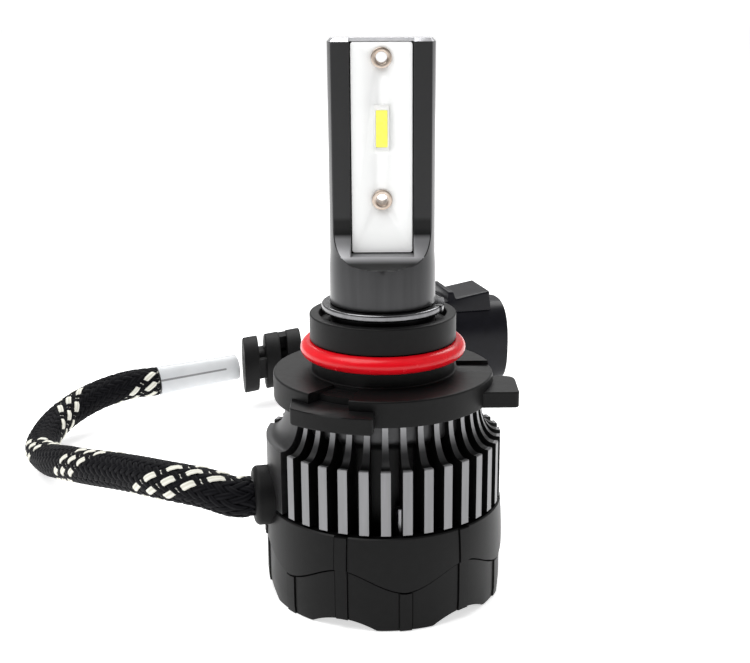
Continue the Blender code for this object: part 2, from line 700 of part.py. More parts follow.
def fan_drive():
    """What the frame holds: bearing, winding core, coils and control board."""
    plate_top = FAN_FOOT + FAN_PLATE
    sleeve = (SHAFT_RADIUS + GAP / 2, BEARING_OUTER, FAN_FOOT + BEARING_SEAT, BEARING_TOP)
    ring("fan_bearing", *sleeve, BRONZE, steps=20)
    inner = BEARING_TUBE + GAP
    ring("fan_board", inner, FAN_BOARD, plate_top + GAP, plate_top + 0.7 * MM, GREEN_BOARD, 32)
    low, high = (plate_top + height for height in STATOR_SPAN)
    core = ring("fan_stator", inner, STATOR_CORE, low, high, STEEL, steps=24)
    angles = around(STATOR_ARMS, math.pi / STATOR_ARMS)
    reach = (STATOR_CORE - 0.2 * MM, STATOR_REACH)
    arms = radial_boxes("stator_arms", angles, STATOR_ARM_HALF, *reach, low, high)
    unite(core, arms)
    for index, angle in enumerate(angles):
        turn = Matrix.Rotation(angle, 4, "Z")
        near, far = COIL_SPAN
        corner = (-COIL_HALF, -far, low - COIL_RISE)
        coil = box(f"fan_coil_{index + 1}", corner, (COIL_HALF, -near, high + COIL_RISE), COPPER)
        half = STATOR_ARM_HALF + GAP
        corner = (-half, -far - MM, low - GAP)
        hole = box(f"coil_hole_{index + 1}", corner, (half, -near + MM, high + GAP))
        coil.matrix_world = turn
        hole.matrix_world = turn
        cut(coil, hole)


def fan_rotor():
    top = FAN_TOP - 0.3 * MM
    roof = top - 0.6 * MM
    skirt = FAN_FOOT + FAN_PLATE + 0.9 * MM
    profile = (
        (SHAFT_RADIUS + GAP, top),
        (ROTOR_RADIUS, top),
        (ROTOR_RADIUS, skirt),
        (ROTOR_RADIUS - ROTOR_WALL, skirt),
        (ROTOR_RADIUS - ROTOR_WALL, roof),
        (SHAFT_RADIUS + GAP, roof),
    )
    rotor = turned("fan_rotor", profile, BLACK_PLASTIC, steps=35)
    for index, angle in enumerate(around(BLADES, 0)):
        unite(rotor, fan_blade(f"blade_{index}", angle, skirt, top))
    magnet = ROTOR_RADIUS - ROTOR_WALL - GAP
    ring("fan_magnet", magnet - 0.5 * MM, magnet, skirt + GAP, roof - 0.5 * MM, FERRITE, steps=35)
    rod("fan_shaft", SHAFT_RADIUS, FAN_FOOT + 0.8 * MM, top, STEEL, 16)


def fan_blade(name, angle, low, high):
    """A pitched blade: its foot leads its top by an angle that shrinks towards the tip."""
    form = bmesh.new()
    inner, outer = ROTOR_RADIUS - 0.15 * MM, BLADE_TIP
    sections = zip((inner, (inner + outer) / 2, outer), BLADE_SWINGS)
    rows = []
    for radius, swing in sections:
        side = BLADE_HALF / radius
        corners = (
            (angle - swing / 2 - side, low + 0.3 * MM),
            (angle - swing / 2 + side, low + 0.3 * MM),
            (angle + swing / 2 + side, high - 0.2 * MM),
            (angle + swing / 2 - side, high - 0.2 * MM),
        )
        rows.append([form.verts.new((*polar(radius, a), z)) for a, z in corners])
    for near, far in zip(rows, rows[1:]):
        for i in range(4):
            form.faces.new((near[i], near[(i + 1) % 4], far[(i + 1) % 4], far[i]))
    form.faces.new(rows[0])
    form.faces.new(rows[-1])
    bmesh.ops.recalc_face_normals(form, faces=form.faces)
    return mesh_of(name, form, None)


# ---------------------------------------------------------------- cable outlet, lead and plug


def gland_turn():
    """Takes +Z to the gland's outward direction, through the gland's height."""
    out = Vector((*polar(1, GLAND_ANGLE), 0))
    turn = Vector((0, 0, 1)).rotation_difference(out).to_matrix().to_4x4()
    return Matrix.Translation((0, 0, GLAND_HEIGHT)) @ turn


def gland_cutter(name):
    """The stepped hole for the gland, in one solid."""
    step = GLAND_SEAT - FIT
    profile = (
        (0, GLAND_FACE + GLAND_RADIUS),
        (GLAND_RADIUS + FIT, GLAND_FACE + GLAND_RADIUS),
        (GLAND_RADIUS + FIT, step),
        (GLAND_SHANK + FIT, step),
        (GLAND_SHANK + FIT, SINK_POCKET - MM),
        (0, SINK_POCKET - MM),
    )
    mesh = bpy.data.meshes.new(name)
    points = [(radius, 0, height) for radius, height in profile]
    mesh.from_pydata(points, [(i, i + 1) for i in range(len(points) - 1)], [])
    cutter = link(name, mesh, None)
    screw = cutter.modifiers.new("turn", "SCREW")
    screw.steps = screw.render_steps = 32
    screw.use_merge_vertices = True
    screw.merge_threshold = 0.01 * MM
    cutter.matrix_world = gland_turn()
    return cutter


def cable_gland():
    profile = (
        (GLAND_BORE, GLAND_FACE),
        (GLAND_RADIUS - 0.5 * MM, GLAND_FACE),
        (GLAND_RADIUS, GLAND_FACE - 0.5 * MM),
        (GLAND_RADIUS, GLAND_SEAT),
        (GLAND_SHANK, GLAND_SEAT),
        (GLAND_SHANK, GLAND_INNER_END),
        (GLAND_BORE, GLAND_INNER_END),
    )
    turned("cable_gland", profile, BLACK_RUBBER, steps=32).matrix_world = gland_turn()


def smooth_route(points, step):
    """Points along a Catmull-Rom curve through these, a little under a step apart."""
    ends = [2 * points[0] - points[1], *points, 2 * points[-1] - points[-2]]
    route = []
    for a, b, c, d in zip(ends, ends[1:], ends[2:], ends[3:]):
        count = max(1, math.ceil((c - b).length / step))
        for i in range(count):
            t = i / count
            bend = (2 * a - 5 * b + 4 * c - d) * t**2 + (3 * (b - c) + d - a) * t**3
            route.append(0.5 * (2 * b + (c - a) * t + bend))
    return route + [points[-1]]


def tube(name, points, radius, spec, resolution):
    curve = bpy.data.curves.new(name, "CURVE")
    curve.dimensions = "3D"
    curve.bevel_depth = radius
    curve.bevel_resolution = resolution
    curve.use_fill_caps = True
    spline = curve.splines.new("POLY")
    spline.points.add(len(points) - 1)
    for point, place in zip(spline.points, points):
        point.co = (*place, 1)
    return link(name, curve, spec)


def lead():
    out = Vector((*polar(1, GLAND_ANGLE), 0))
    height = Vector((0, 0, GLAND_HEIGHT))
    exit_point = height + out * (GLAND_FACE + FIT)
    label_start, label_end = (Vector(p) * MM for p in LABEL_ENDS_MM)
    along = (label_end - label_start).normalized()
    points = [exit_point, exit_point + out * 2.2 * MM, *(Vector(p) * MM for p in LEAD_ROUTE_MM)]
    points.append(label_start - along * FIT)
    tube("power_lead", smooth_route(points, LEAD_POINT_STEP), LEAD_RADIUS, BRAID, 3)
    tube("label_sleeve", [label_start, label_end], LABEL_RADIUS, WHITE_SLEEVE, 3)


def boot():
    """Rubber discs on a core that runs from the sleeve to the plug.

    The discs lean towards the plug's axis.
    """
    start = Vector(LABEL_ENDS_MM[1]) * MM
    along = (Vector(PLUG_BACK_MM) * MM - start).normalized()
    start = start + along * BOOT_CLEARANCE
    length = (Vector(PLUG_BACK_MM) * MM - start).length - BOOT_END_CLEARANCE
    pitch = (length - BOOT_DISC_THICKNESS) / BOOT_DISCS
    profile = [(BOOT_CORE, 0)]
    for index in range(BOOT_DISCS):
        low = index * pitch
        high = low + BOOT_DISC_THICKNESS
        profile += [(BOOT_DISC, low), (BOOT_DISC, high), (BOOT_CORE, high)]
        if index < BOOT_DISCS - 1:
            profile.append((BOOT_CORE, high + pitch - BOOT_DISC_THICKNESS))
    profile = profile[1:] + [(BOOT_CORE + MM, length), (GLAND_BORE, length), (GLAND_BORE, 0)]
    upright = turned("boot_upright", profile[::-1], BLACK_RUBBER, steps=24)
    made = as_mesh(upright, "strain_relief_boot", BLACK_RUBBER)
    side = Vector((-math.sin(BOOT_DISC_TURN), math.cos(BOOT_DISC_TURN), 0))
    lean = Matrix((side, Vector((0, 0, 1)), along)).transposed().to_4x4()
    made.data.transform(Matrix.Translation(start) @ lean)


def oval(width, height, count=28, power=OVAL_POWER):
    """A soft-cornered oval, as (y, z) points."""
    points = []
    for i in range(count):
        angle = 2 * math.pi * i / count
        c, s = math.cos(angle), math.sin(angle)
        y = width / 2 * math.copysign(abs(c) ** (2 / power), c)
        points.append((y, height / 2 * math.copysign(abs(s) ** (2 / power), s)))
    return points


def plug():
    frame = bpy.data.objects.new("plug_frame", None)
    bpy.data.collections[PARTS].objects.link(frame)
    frame.location = Vector(PLUG_BACK_MM) * MM
    frame.rotation_euler.z = PLUG_TURN
    stand = Matrix(((0, 0, 1, 0), (1, 0, 0, 0), (0, 1, 0, 0), (0, 0, 0, 1)))

    def along_x(name, outline, low, high, spec=None):
        made = plate(name, outline, low, high, spec)
        made.data.transform(stand)
        made.parent = frame
        return made

    shell = along_x("plug_shell", oval(PLUG_WIDTH, PLUG_HEIGHT), 0, PLUG_LENGTH, BLACK_PLASTIC)
    inside = oval(PLUG_WIDTH - 2 * PLUG_WALL, PLUG_HEIGHT - 2 * PLUG_WALL)
    cavity = along_x("plug_cavity", inside, PLUG_LENGTH - PLUG_CAVITY, PLUG_LENGTH + MM)
    cable_hole = along_x("plug_cable_hole", oval(*WIRE_HOLE, 16), -MM, WIRE_HOLE_DEPTH)
    rib_outline = [(x * MM, PLUG_HEIGHT / 2 + z * MM) for x, z in PLUG_RIB_MM]
    rib = plate("plug_rib", rib_outline, -PLUG_RIB_WIDTH / 2, PLUG_RIB_WIDTH / 2)
    rib.data.transform(Matrix.Rotation(math.pi / 2, 4, "X"))
    rib.parent = frame
    unite(shell, rib)
    cut(shell, cavity, cable_hole)
    length, width, thickness = PIN_SIZE
    floor = PLUG_LENGTH - PLUG_CAVITY
    for side, name in ((-1, "right"), (1, "left")):
        y = side * PIN_SPACING / 2
        low = (floor - PIN_ROOT, y - width / 2, -thickness / 2)
        high = (floor - PIN_ROOT + length, y + width / 2, thickness / 2)
        box(f"plug_pin_{name}", low, high, TINNED).parent = frame
        slot_low = Vector(low) - Vector((PIN_SLOT, GAP, GAP))
        slot = box(f"pin_slot_{name}", slot_low, Vector(high) + Vector((0, GAP, GAP)))
        slot.parent = frame
        cut(shell, slot)
        centre = Matrix.Translation((0, side * SEAL_OFFSET, 0)) @ Matrix.Rotation(math.pi / 2, 4, "Y")
        seal = rod(f"wire_seal_{name}", SEAL_RADIUS, *SEAL_SPAN, RED_RUBBER, 12, centre)
        seal.parent = frame


clear_scene()
emitter_column()
for board_side in (-1, 1):
    board_and_emitter(board_side)
for eyelet_name, eyelet_height in zip(("upper_eyelet", "lower_eyelet"), EYELET_HEIGHTS):
    eyelet(eyelet_name, eyelet_height)
emitter_leads()
retaining_clip()
stem_seal_size = (SEAL_GROOVE + SEAL_WIRE + GAP, SEAL_WIRE, SEAL_HEIGHT)
seal_ring("stem_seal", *stem_seal_size, BLACK_RUBBER, steps=24, sides=6)
adapter_collar()
seal_ring("o_ring", RING_RADIUS, RING_WIRE, RING_HEIGHT, RED_RUBBER, steps=40)
heat_sink()
driver()
rear_cover()
fan_frame()
fan_drive()
fan_rotor()
cable_gland()
lead()
boot()
plug()
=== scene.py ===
import math

import bmesh
import bpy
import numpy as np
from mathutils import Matrix, Vector


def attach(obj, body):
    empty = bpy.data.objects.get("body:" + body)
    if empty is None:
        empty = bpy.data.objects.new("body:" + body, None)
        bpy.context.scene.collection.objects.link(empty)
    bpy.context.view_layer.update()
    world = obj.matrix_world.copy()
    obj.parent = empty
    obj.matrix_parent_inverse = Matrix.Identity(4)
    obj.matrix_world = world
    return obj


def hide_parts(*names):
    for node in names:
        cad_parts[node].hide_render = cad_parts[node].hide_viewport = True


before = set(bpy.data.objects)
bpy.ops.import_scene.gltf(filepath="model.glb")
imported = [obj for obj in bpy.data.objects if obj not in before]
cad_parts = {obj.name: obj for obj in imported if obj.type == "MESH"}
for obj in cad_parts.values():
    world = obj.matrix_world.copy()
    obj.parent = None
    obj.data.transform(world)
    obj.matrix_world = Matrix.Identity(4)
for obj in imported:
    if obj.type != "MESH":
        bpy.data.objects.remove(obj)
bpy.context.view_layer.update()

MM = 0.001
ROOT, COLLAR, ROTOR = "root", "collar", "rotor"
looks = {}  # materials by name

# Camera: level with a spot above the bulb, looking down on it.
CAMERA_PLACE = (0.0, -0.1618, 0.0797)
CAMERA_TILT = math.radians(90 - 15.13)
CAMERA_LENS = 59.95
CAMERA_SHIFT_X = -0.0104
CAMERA_ROLL = math.radians(-0.3)
CAMERA_SENSOR = 36
CAMERA_NEAR = 0.01

# Lead: the same route as the CAD lead, in millimetres.
GLAND_ANGLE = math.radians(-78)
GLAND_OUT = Vector((math.sin(GLAND_ANGLE), -math.cos(GLAND_ANGLE), 0))
GLAND_HEIGHT = 14.0 * MM
GLAND_FACE = 18.1 * MM
FIT = 0.3 * MM
LEAD_ROUTE_MM = (
    (-24.6, -2.2, 14.5), (-30.8, 2.0, 14.0), (-37.8, 9.8, 12.1), (-44.8, 17.8, 9.8),
    (-50.6, 26.0, 7.4), (-55.7, 34.6, 4.8), (-60.1, 45.2, 3.4), (-59.4, 56.0, 4.5),
    (-55.0, 62.6, 6.3), (-49.2, 66.2, 7.6),
)
LABEL_ENDS_MM = ((-43.4, 68.5, 7.8), (-29.05, 75.22, 8.53))
LEAD_RADIUS = 2.75 * MM

# Braid: sixteen flat strands each way round, every strand over two and under two of the others.
STRANDS = 16
BRAID_PITCH = 27.0 * MM
STRAND_HALF_WIDTH = 0.43 * MM
STRAND_HALF_THICK = 0.17 * MM
WEAVE_LIFT = 0.15 * MM
BRAID_STEP = 0.42 * MM
TRACER_STRANDS = (0, 2, 4)
TRACER_PHASE = math.radians(25)
LEAD_TWIST = ((0, 40, 82, 101), (9, 30, -40, -110))  # millimetres along the lead, degrees
TRACER_LIFT = 0.12 * MM
TRACER_HALF_WIDTH = 0.5 * MM
WEAVE_SQUARENESS = 1.6
STRAND_CORNERS = 6
CORE_SIDES = 20
CORE_SUNK = 0.42 * MM

# Greys by height, in millimetres, that paint reflections: the dark and bright reflection bands
# painted on the milled flats of the column, and the painted reflection on the fins' curved tops.
FLAT_REFLECTION_STOPS = (
    (45.0, 0.008), (46.3, 0.012), (46.95, 0.3), (49.1, 0.26), (49.7, 0.006),
    (51.4, 0.006), (51.95, 0.03), (74.4, 0.03),
)
# The fins' tops: painted reflection, near black where they flatten out at the rim and lighter up
# the steep part.
SWEEP_REFLECTION_STOPS = ((22.1, 0.01), (23.6, 0.05), (24.8, 0.22), (27.0, 0.3))


# ---- camera and light


def camera():
    data = bpy.data.cameras.new("camera")
    data.lens = CAMERA_LENS
    data.sensor_width = CAMERA_SENSOR
    data.shift_x = CAMERA_SHIFT_X
    data.clip_start = CAMERA_NEAR
    made = bpy.data.objects.new("camera", data)
    made.location = CAMERA_PLACE
    tilt, roll = Matrix.Rotation(CAMERA_TILT, 3, "X"), Matrix.Rotation(CAMERA_ROLL, 3, "Z")
    made.rotation_euler = (tilt @ roll).to_euler()
    bpy.context.scene.collection.objects.link(made)
    bpy.context.scene.camera = made


# ---- meshes


def polar(radius, angle):
    """A point on a circle; angle 0 faces the front (-Y) and grows towards +X."""
    return radius * math.sin(angle), -radius * math.cos(angle)


def in_mm(*points):
    """Points given in millimetres, as tuples in metres."""
    return [tuple(value * MM for value in point) for point in points]


def shaded(mesh, degrees):
    """Smooth shading, except at edges sharper than this."""
    mesh.shade_smooth()
    mesh.set_sharp_from_angle(angle=math.radians(degrees))


def piece(name, mesh, kinds, smooth=35):
    """An object from a mesh, smooth except at edges sharper than this many degrees."""
    for kind in kinds:
        mesh.materials.append(looks[kind])
    if smooth:
        shaded(mesh, smooth)
    obj = bpy.data.objects.new(name, mesh)
    bpy.context.scene.collection.objects.link(obj)
    return obj


def from_form(name, form, kinds, smooth=35):
    bmesh.ops.recalc_face_normals(form, faces=form.faces)
    mesh = bpy.data.meshes.new(name)
    form.to_mesh(mesh)
    form.free()
    return piece(name, mesh, kinds, smooth)


def softened(corners, steps=3, closed=True):
    """(radius, height, fillet) corners as points, each corner rounded by its fillet."""
    points = []
    count = len(corners)
    for i, corner in enumerate(corners):
        here = Vector(corner[:2])
        fillet = corner[2] if len(corner) > 2 else 0
        if not fillet or (not closed and i in (0, count - 1)):
            points.append(here)
            continue
        before = Vector(corners[i - 1][:2]) - here
        after = Vector(corners[(i + 1) % count][:2]) - here
        start = here + before.normalized() * min(fillet, before.length * 0.49)
        end = here + after.normalized() * min(fillet, after.length * 0.49)
        for k in range(steps + 1):
            t = k / steps
            points.append(start * (1 - t) ** 2 + here * 2 * t * (1 - t) + end * t**2)
    return points


def lathe(form, points, steps=96, start=0.0, end=math.tau, slot=0):
    """Turns a closed loop of (radius, height) points about Z. Returns its faces."""
    whole = abs(end - start - math.tau) < 1e-6
    columns = steps if whole else steps + 1
    rings = []
    for i in range(columns):
        angle = start + (end - start) * i / steps
        rings.append([form.verts.new((*polar(r, angle), z)) for r, z in points])
    faces = []
    for i in range(steps):
        near, far = rings[i], rings[(i + 1) % columns]
        for k in range(len(points)):
            j = (k + 1) % len(points)
            faces.append(form.faces.new((near[k], far[k], far[j], near[j])))
    if not whole:
        faces += [form.faces.new(rings[0]), form.faces.new(rings[-1])]
    for face in faces:
        face.material_index = slot
    return faces


def loft(form, sections, slot=0, caps=True):
    """Joins loops of equal length, each a list of 3-D points, end to end."""
    rings = [[form.verts.new(p) for p in section] for section in sections]
    faces = []
    for near, far in zip(rings, rings[1:]):
        for k in range(len(near)):
            j = (k + 1) % len(near)
            faces.append(form.faces.new((near[k], near[j], far[j], far[k])))
    if caps:
        faces += [form.faces.new(rings[0][::-1]), form.faces.new(rings[-1])]
    for face in faces:
        face.material_index = slot
    return faces


def moved(form, faces, matrix):
    verts = {v for face in faces for v in face.verts}
    bmesh.ops.transform(form, matrix=matrix, verts=list(verts))


def prism(form, outline, low, high, chamfer=0.0):
    """An (x, y) outline made solid between two heights, its top and bottom edges taken off."""
    rows = [(outline, low), (outline, high)]
    if chamfer:
        middle = sum((Vector(p) for p in outline), Vector((0, 0))) / len(outline)
        small = [Vector(p) + (middle - Vector(p)).normalized() * chamfer for p in outline]
        rows = [(small, low), (outline, low + chamfer), (outline, high - chamfer), (small, high)]
    return loft(form, [[(p[0], p[1], z) for p in row] for row, z in rows])


def bevelled(obj, width, segments=2, angle=32):
    """The piece with its sharp edges rounded, as a plain mesh."""
    bevel = obj.modifiers.new("soft edges", "BEVEL")
    bevel.width = width
    bevel.segments = segments
    bevel.limit_method = "ANGLE"
    bevel.angle_limit = math.radians(angle)
    bevel.use_clamp_overlap = True
    weighted = obj.modifiers.new("shading", "WEIGHTED_NORMAL")
    weighted.keep_sharp = True
    return applied(obj)


def applied(obj):
    bpy.context.view_layer.update()
    graph = bpy.context.evaluated_depsgraph_get()
    mesh = bpy.data.meshes.new_from_object(obj.evaluated_get(graph))
    obj.modifiers.clear()
    obj.data = mesh
    return obj


def cut(obj, form, kinds):
    """Takes a closed form out of a piece. The form is used up."""
    other = from_form("cut", form, kinds)
    modifier = obj.modifiers.new("cut", "BOOLEAN")
    modifier.operation = "DIFFERENCE"
    modifier.solver = "EXACT"
    modifier.object = other
    applied(obj)
    bpy.data.objects.remove(other, do_unlink=True)


def stands_for(obj, node, body=ROOT):
    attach(obj, body)
    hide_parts(node)
    return obj


# ---- materials


# Two tones (greys, or red, green and blue), grain scale, roughness and what else differs.
LOOKS = {
    # The flats' grain tones are replaced by painted reflection bands by height.
    "anodised_flat_painted_reflection": (0.10, 0.115, 900, 0.5, dict(metallic=0.55, rough=(0.42, 0.5))),
    "anodised_stem": (
        0.042, 0.055, 700, 0.3, dict(metallic=0.9, rough=(0.27, 0.34), stretch=(1, 1, 0.06)),
    ),
    "bare_edge": (0.78, 0.9, 900, 0.25, dict(metallic=1.0, rough=(0.22, 0.3))),
    "board_white": (
        (0.86, 0.87, 0.86), (0.9, 0.905, 0.9), 500, 0.4, dict(bump=0.05, bump_scale=3000),
    ),
    "led_white": ((0.9, 0.9, 0.88), (0.93, 0.93, 0.91), 700, 0.35, {}),
    "phosphor_yellow": (
        (0.93, 0.9, 0.1), (0.97, 0.94, 0.16), 2500, 0.5, dict(bump=0.15, bump_scale=6000),
    ),
    "eyelet_tin": (
        (0.52, 0.42, 0.34), (0.7, 0.6, 0.52), 1500, 0.3, dict(metallic=1.0, rough=(0.24, 0.4)),
    ),
    "clip_black_steel": (0.16, 0.22, 900, 0.2, dict(metallic=1.0, rough=(0.16, 0.24))),
    "collar_nylon": (
        0.004, 0.006, 900, 0.42, dict(ior=1.25, rough=(0.4, 0.5), bump=0.12, bump_scale=3500),
    ),
    "o_ring_red": (
        (0.8, 0.004, 0.012), (0.86, 0.006, 0.016), 600, 0.22,
        dict(coat=0.1, ior=1.35, rough=(0.22, 0.3)),
    ),
    "sink_black": (0.006, 0.009, 900, 0.45, dict(metallic=0.6, rough=(0.4, 0.5))),
    "sink_bright": (
        0.2, 0.25, 900, 0.38, dict(metallic=0.6, rough=(0.36, 0.44), stretch=(1, 1, 0.1)),
    ),
    # The fins' tops: grain tones replaced by painted reflection by height.
    "sink_sweep_painted_reflection": (0.4, 0.5, 900, 0.42, dict(metallic=0.6, rough=(0.38, 0.46))),
    "sink_neck": (0.045, 0.06, 900, 0.4, dict(metallic=0.8, rough=(0.36, 0.46))),
    "cover_satin": (
        0.003, 0.0045, 800, 0.36, dict(ior=1.24, rough=(0.34, 0.4), bump=0.08, bump_scale=4000),
    ),
    "rubber_black": (
        0.004, 0.006, 800, 0.55, dict(ior=1.25, rough=(0.5, 0.62), bump=0.15, bump_scale=3000),
    ),
    "fan_black": (0.008, 0.01, 800, 0.4, dict(ior=1.3, rough=(0.36, 0.44))),
    "plug_black": (
        (0.003, 0.003, 0.005), (0.005, 0.005, 0.008), 600, 0.34, dict(ior=1.28, rough=(0.3, 0.38)),
    ),
    "steel_zinc": (0.5, 0.6, 1200, 0.32, dict(metallic=1.0, rough=(0.26, 0.38))),
    "board_green": ((0.012, 0.09, 0.035), (0.02, 0.13, 0.05), 900, 0.35, dict(rough=(0.3, 0.4))),
    "ferrite_grey": (0.045, 0.06, 1500, 0.7, dict(bump=0.3, bump_scale=3000)),
    "copper_wire": (
        (0.6, 0.24, 0.09), (0.72, 0.33, 0.14), 900, 0.3,
        dict(metallic=1.0, stretch=(1, 1, 12), bump=0.4, bump_scale=700),
    ),
    "bronze_sintered": (
        (0.42, 0.29, 0.13), (0.55, 0.4, 0.19), 3000, 0.45,
        dict(metallic=1.0, bump=0.2, bump_scale=5000),
    ),
    "pin_tin": (
        (0.6, 0.56, 0.5), (0.72, 0.68, 0.62), 1200, 0.28, dict(metallic=1.0, rough=(0.22, 0.34)),
    ),
    "sleeve_white": (
        (0.62, 0.635, 0.65), (0.68, 0.695, 0.71), 250, 0.36, dict(bump=0.25, bump_scale=350),
    ),
    # A dark grey for the line along the sleeve's fold: painted shade.
    "sleeve_fold_shade": (0.22, 0.28, 250, 0.4, {}),
    "wire_red": ((0.55, 0.01, 0.012), (0.62, 0.015, 0.018), 500, 0.4, {}),
    "braid_core": (0.006, 0.009, 500, 0.8, {}),
}
STRAND_LOOKS = (
    ("braid_black", (0.002, 0.002, 0.003), (0.008, 0.008, 0.01)),
    ("braid_cream", (0.7, 0.69, 0.6), (0.9, 0.89, 0.82)),
)
# Emission on the unlit board and phosphor: painted glow.
PAINTED_GLOW = 0.2
GRAIN_DETAIL = 3.0
GRAIN_SPAN = (0.3, 0.7)
BUMP_DISTANCE = 0.05 * MM


def shader_of(made):
    return made.node_tree.nodes["Principled BSDF"]


def shader_material(name, colour, roughness, metallic=0.0, coat=0.0, ior=1.5):
    made = bpy.data.materials.new(name)
    made.use_nodes = True
    inputs = shader_of(made).inputs
    inputs["Base Color"].default_value = (*colour, 1)
    inputs["Roughness"].default_value = roughness
    inputs["Metallic"].default_value = metallic
    inputs["Coat Weight"].default_value = coat
    inputs["IOR"].default_value = ior
    return made


def glowing(made, colour, strength):
    inputs = shader_of(made).inputs
    inputs["Emission Color"].default_value = (*colour, 1)
    inputs["Emission Strength"].default_value = strength


def node(made, kind, **values):
    """A new node. Values named in_... go to its sockets, the others are its own settings."""
    found = made.node_tree.nodes.new(kind)
    for key, value in values.items():
        if key.startswith("in_"):
            found.inputs[key[3:].replace("_", " ")].default_value = value
        else:
            setattr(found, key, value)
    return found


def wire(made, a, out, b, into):
    made.node_tree.links.new(a.outputs[out], b.inputs[into])


def two_tone(made, source, dark, light, span=(0, 1)):
    """Colours the surface between two tones by a node's factor."""
    ramp = node(made, "ShaderNodeValToRGB")
    for element, tone, position in zip(ramp.color_ramp.elements, (dark, light), span):
        element.position = position
        element.color = (*tone, 1)
    wire(made, source, "Fac", ramp, "Fac")
    wire(made, ramp, "Color", shader_of(made), "Base Color")


def textured(made, dark, light, scale, stretch=(1, 1, 1), rough=None, bump=0.0, bump_scale=1.0):
    """Noise in the colour, and where asked in the roughness and the surface."""
    shader = shader_of(made)
    where = node(made, "ShaderNodeTexCoord")
    mapping = node(made, "ShaderNodeMapping", in_Scale=stretch)
    wire(made, where, "Object", mapping, "Vector")
    grain = node(made, "ShaderNodeTexNoise", in_Scale=scale, in_Detail=GRAIN_DETAIL)
    wire(made, mapping, "Vector", grain, "Vector")
    two_tone(made, grain, dark, light, GRAIN_SPAN)
    if rough:
        span = node(made, "ShaderNodeMapRange", in_To_Min=rough[0], in_To_Max=rough[1])
        wire(made, grain, "Fac", span, "Value")
        wire(made, span, "Result", shader, "Roughness")
    if bump:
        fine = node(made, "ShaderNodeTexNoise", in_Scale=bump_scale, in_Detail=GRAIN_DETAIL)
        wire(made, mapping, "Vector", fine, "Vector")
        relief = node(made, "ShaderNodeBump", in_Strength=bump, in_Distance=BUMP_DISTANCE)
        wire(made, fine, "Fac", relief, "Height")
        wire(made, relief, "Normal", shader, "Normal")


def grey(value):
    return value, value, value * 1.03


def banded(made, stops):
    """The colour by height instead of by noise, from (height, grey) stops that run upwards."""
    low, high = stops[0][0], stops[-1][0]
    where = node(made, "ShaderNodeTexCoord")
    split = node(made, "ShaderNodeSeparateXYZ")
    wire(made, where, "Object", split, "Vector")
    share = node(made, "ShaderNodeMapRange", in_From_Min=low * MM, in_From_Max=high * MM)
    wire(made, split, "Z", share, "Value")
    ramp = node(made, "ShaderNodeValToRGB")
    elements = ramp.color_ramp.elements
    while len(elements) < len(stops):
        elements.new(0.5)
    for element, (height, _) in zip(elements, stops):
        element.position = (height - low) / (high - low)
    for element, (_, value) in zip(elements, stops):
        element.color = (*grey(value), 1)
    wire(made, share, "Result", ramp, "Fac")
    wire(made, ramp, "Color", shader_of(made), "Base Color")


def strand_material(name, dark, light):
    """Fine filaments that run along each strand, read across it from its UV map."""
    made = shader_material(name, light, 0.6, ior=1.17)
    where = node(made, "ShaderNodeUVMap", uv_map="strand")
    threads = node(made, "ShaderNodeTexWave", in_Scale=1.4, in_Distortion=0.6, in_Detail=1.0)
    threads.bands_direction = "X"
    wire(made, where, "UV", threads, "Vector")
    two_tone(made, threads, dark, light)
    return made


def fill_looks():
    for name, (dark, light, scale, roughness, more) in LOOKS.items():
        dark, light = (tone if isinstance(tone, tuple) else grey(tone) for tone in (dark, light))
        shading = {k: more[k] for k in ("metallic", "coat", "ior") if k in more}
        grain = {k: value for k, value in more.items() if k not in shading}
        looks[name] = shader_material(name, dark, roughness, **shading)
        textured(looks[name], dark, light, scale, **grain)
    # Painted reflections by height: bands on the column's flats.
    banded(looks["anodised_flat_painted_reflection"], FLAT_REFLECTION_STOPS)
    # Painted reflection by height on the fins' tops.
    banded(looks["sink_sweep_painted_reflection"], SWEEP_REFLECTION_STOPS)
    # Painted glow: the board and the phosphor glow though the bulb is off.
    glowing(looks["board_white"], (1, 1, 1), PAINTED_GLOW)
    glowing(looks["phosphor_yellow"], (1, 0.97, 0.08), PAINTED_GLOW)
    for name, dark, light in STRAND_LOOKS:
        looks[name] = strand_material(name, dark, light)


# ---- the lead


def smooth_route(points, step):
    """Points along a Catmull-Rom curve through these, a little under a step apart."""
    ends = [2 * points[0] - points[1], *points, 2 * points[-1] - points[-2]]
    route = []
    for a, b, c, d in zip(ends, ends[1:], ends[2:], ends[3:]):
        count = max(1, math.ceil((c - b).length / step))
        for i in range(count):
            t = i / count
            bend, twist = 2 * a - 5 * b + 4 * c - d, 3 * (b - c) + d - a
            route.append(0.5 * (2 * b + (c - a) * t + bend * t**2 + twist * t**3))
    return route + [points[-1]]


def framed_line(points, step):
    """Evenly spaced places along a line, each with side and up directions that don't twist."""
    line = np.array([tuple(p) for p in points])
    run = np.concatenate(([0], np.cumsum(np.linalg.norm(np.diff(line, axis=0), axis=1))))
    count = max(2, int(round(run[-1] / step)) + 1)
    at = np.linspace(0, run[-1], count)
    places = np.stack([np.interp(at, run, line[:, k]) for k in range(3)], axis=1)
    along = np.gradient(places, axis=0)
    along /= np.linalg.norm(along, axis=1)[:, None]
    ups = np.zeros_like(places)
    up = np.array((0.0, 0.0, 1.0))
    for i, forward in enumerate(along):
        up = up - forward * np.dot(up, forward)
        up /= np.linalg.norm(up)
        ups[i] = up
    sides = np.cross(along, ups)
    return at, places, along, sides, ups


def lead_points():
    exit_point = Vector((0, 0, GLAND_HEIGHT)) + GLAND_OUT * (GLAND_FACE + FIT)
    label_start, label_end = (Vector(p) * MM for p in LABEL_ENDS_MM)
    along = (label_end - label_start).normalized()
    route = [Vector(p) * MM for p in LEAD_ROUTE_MM]
    return [exit_point, exit_point + GLAND_OUT * 2.2 * MM, *route, label_start - along * FIT]


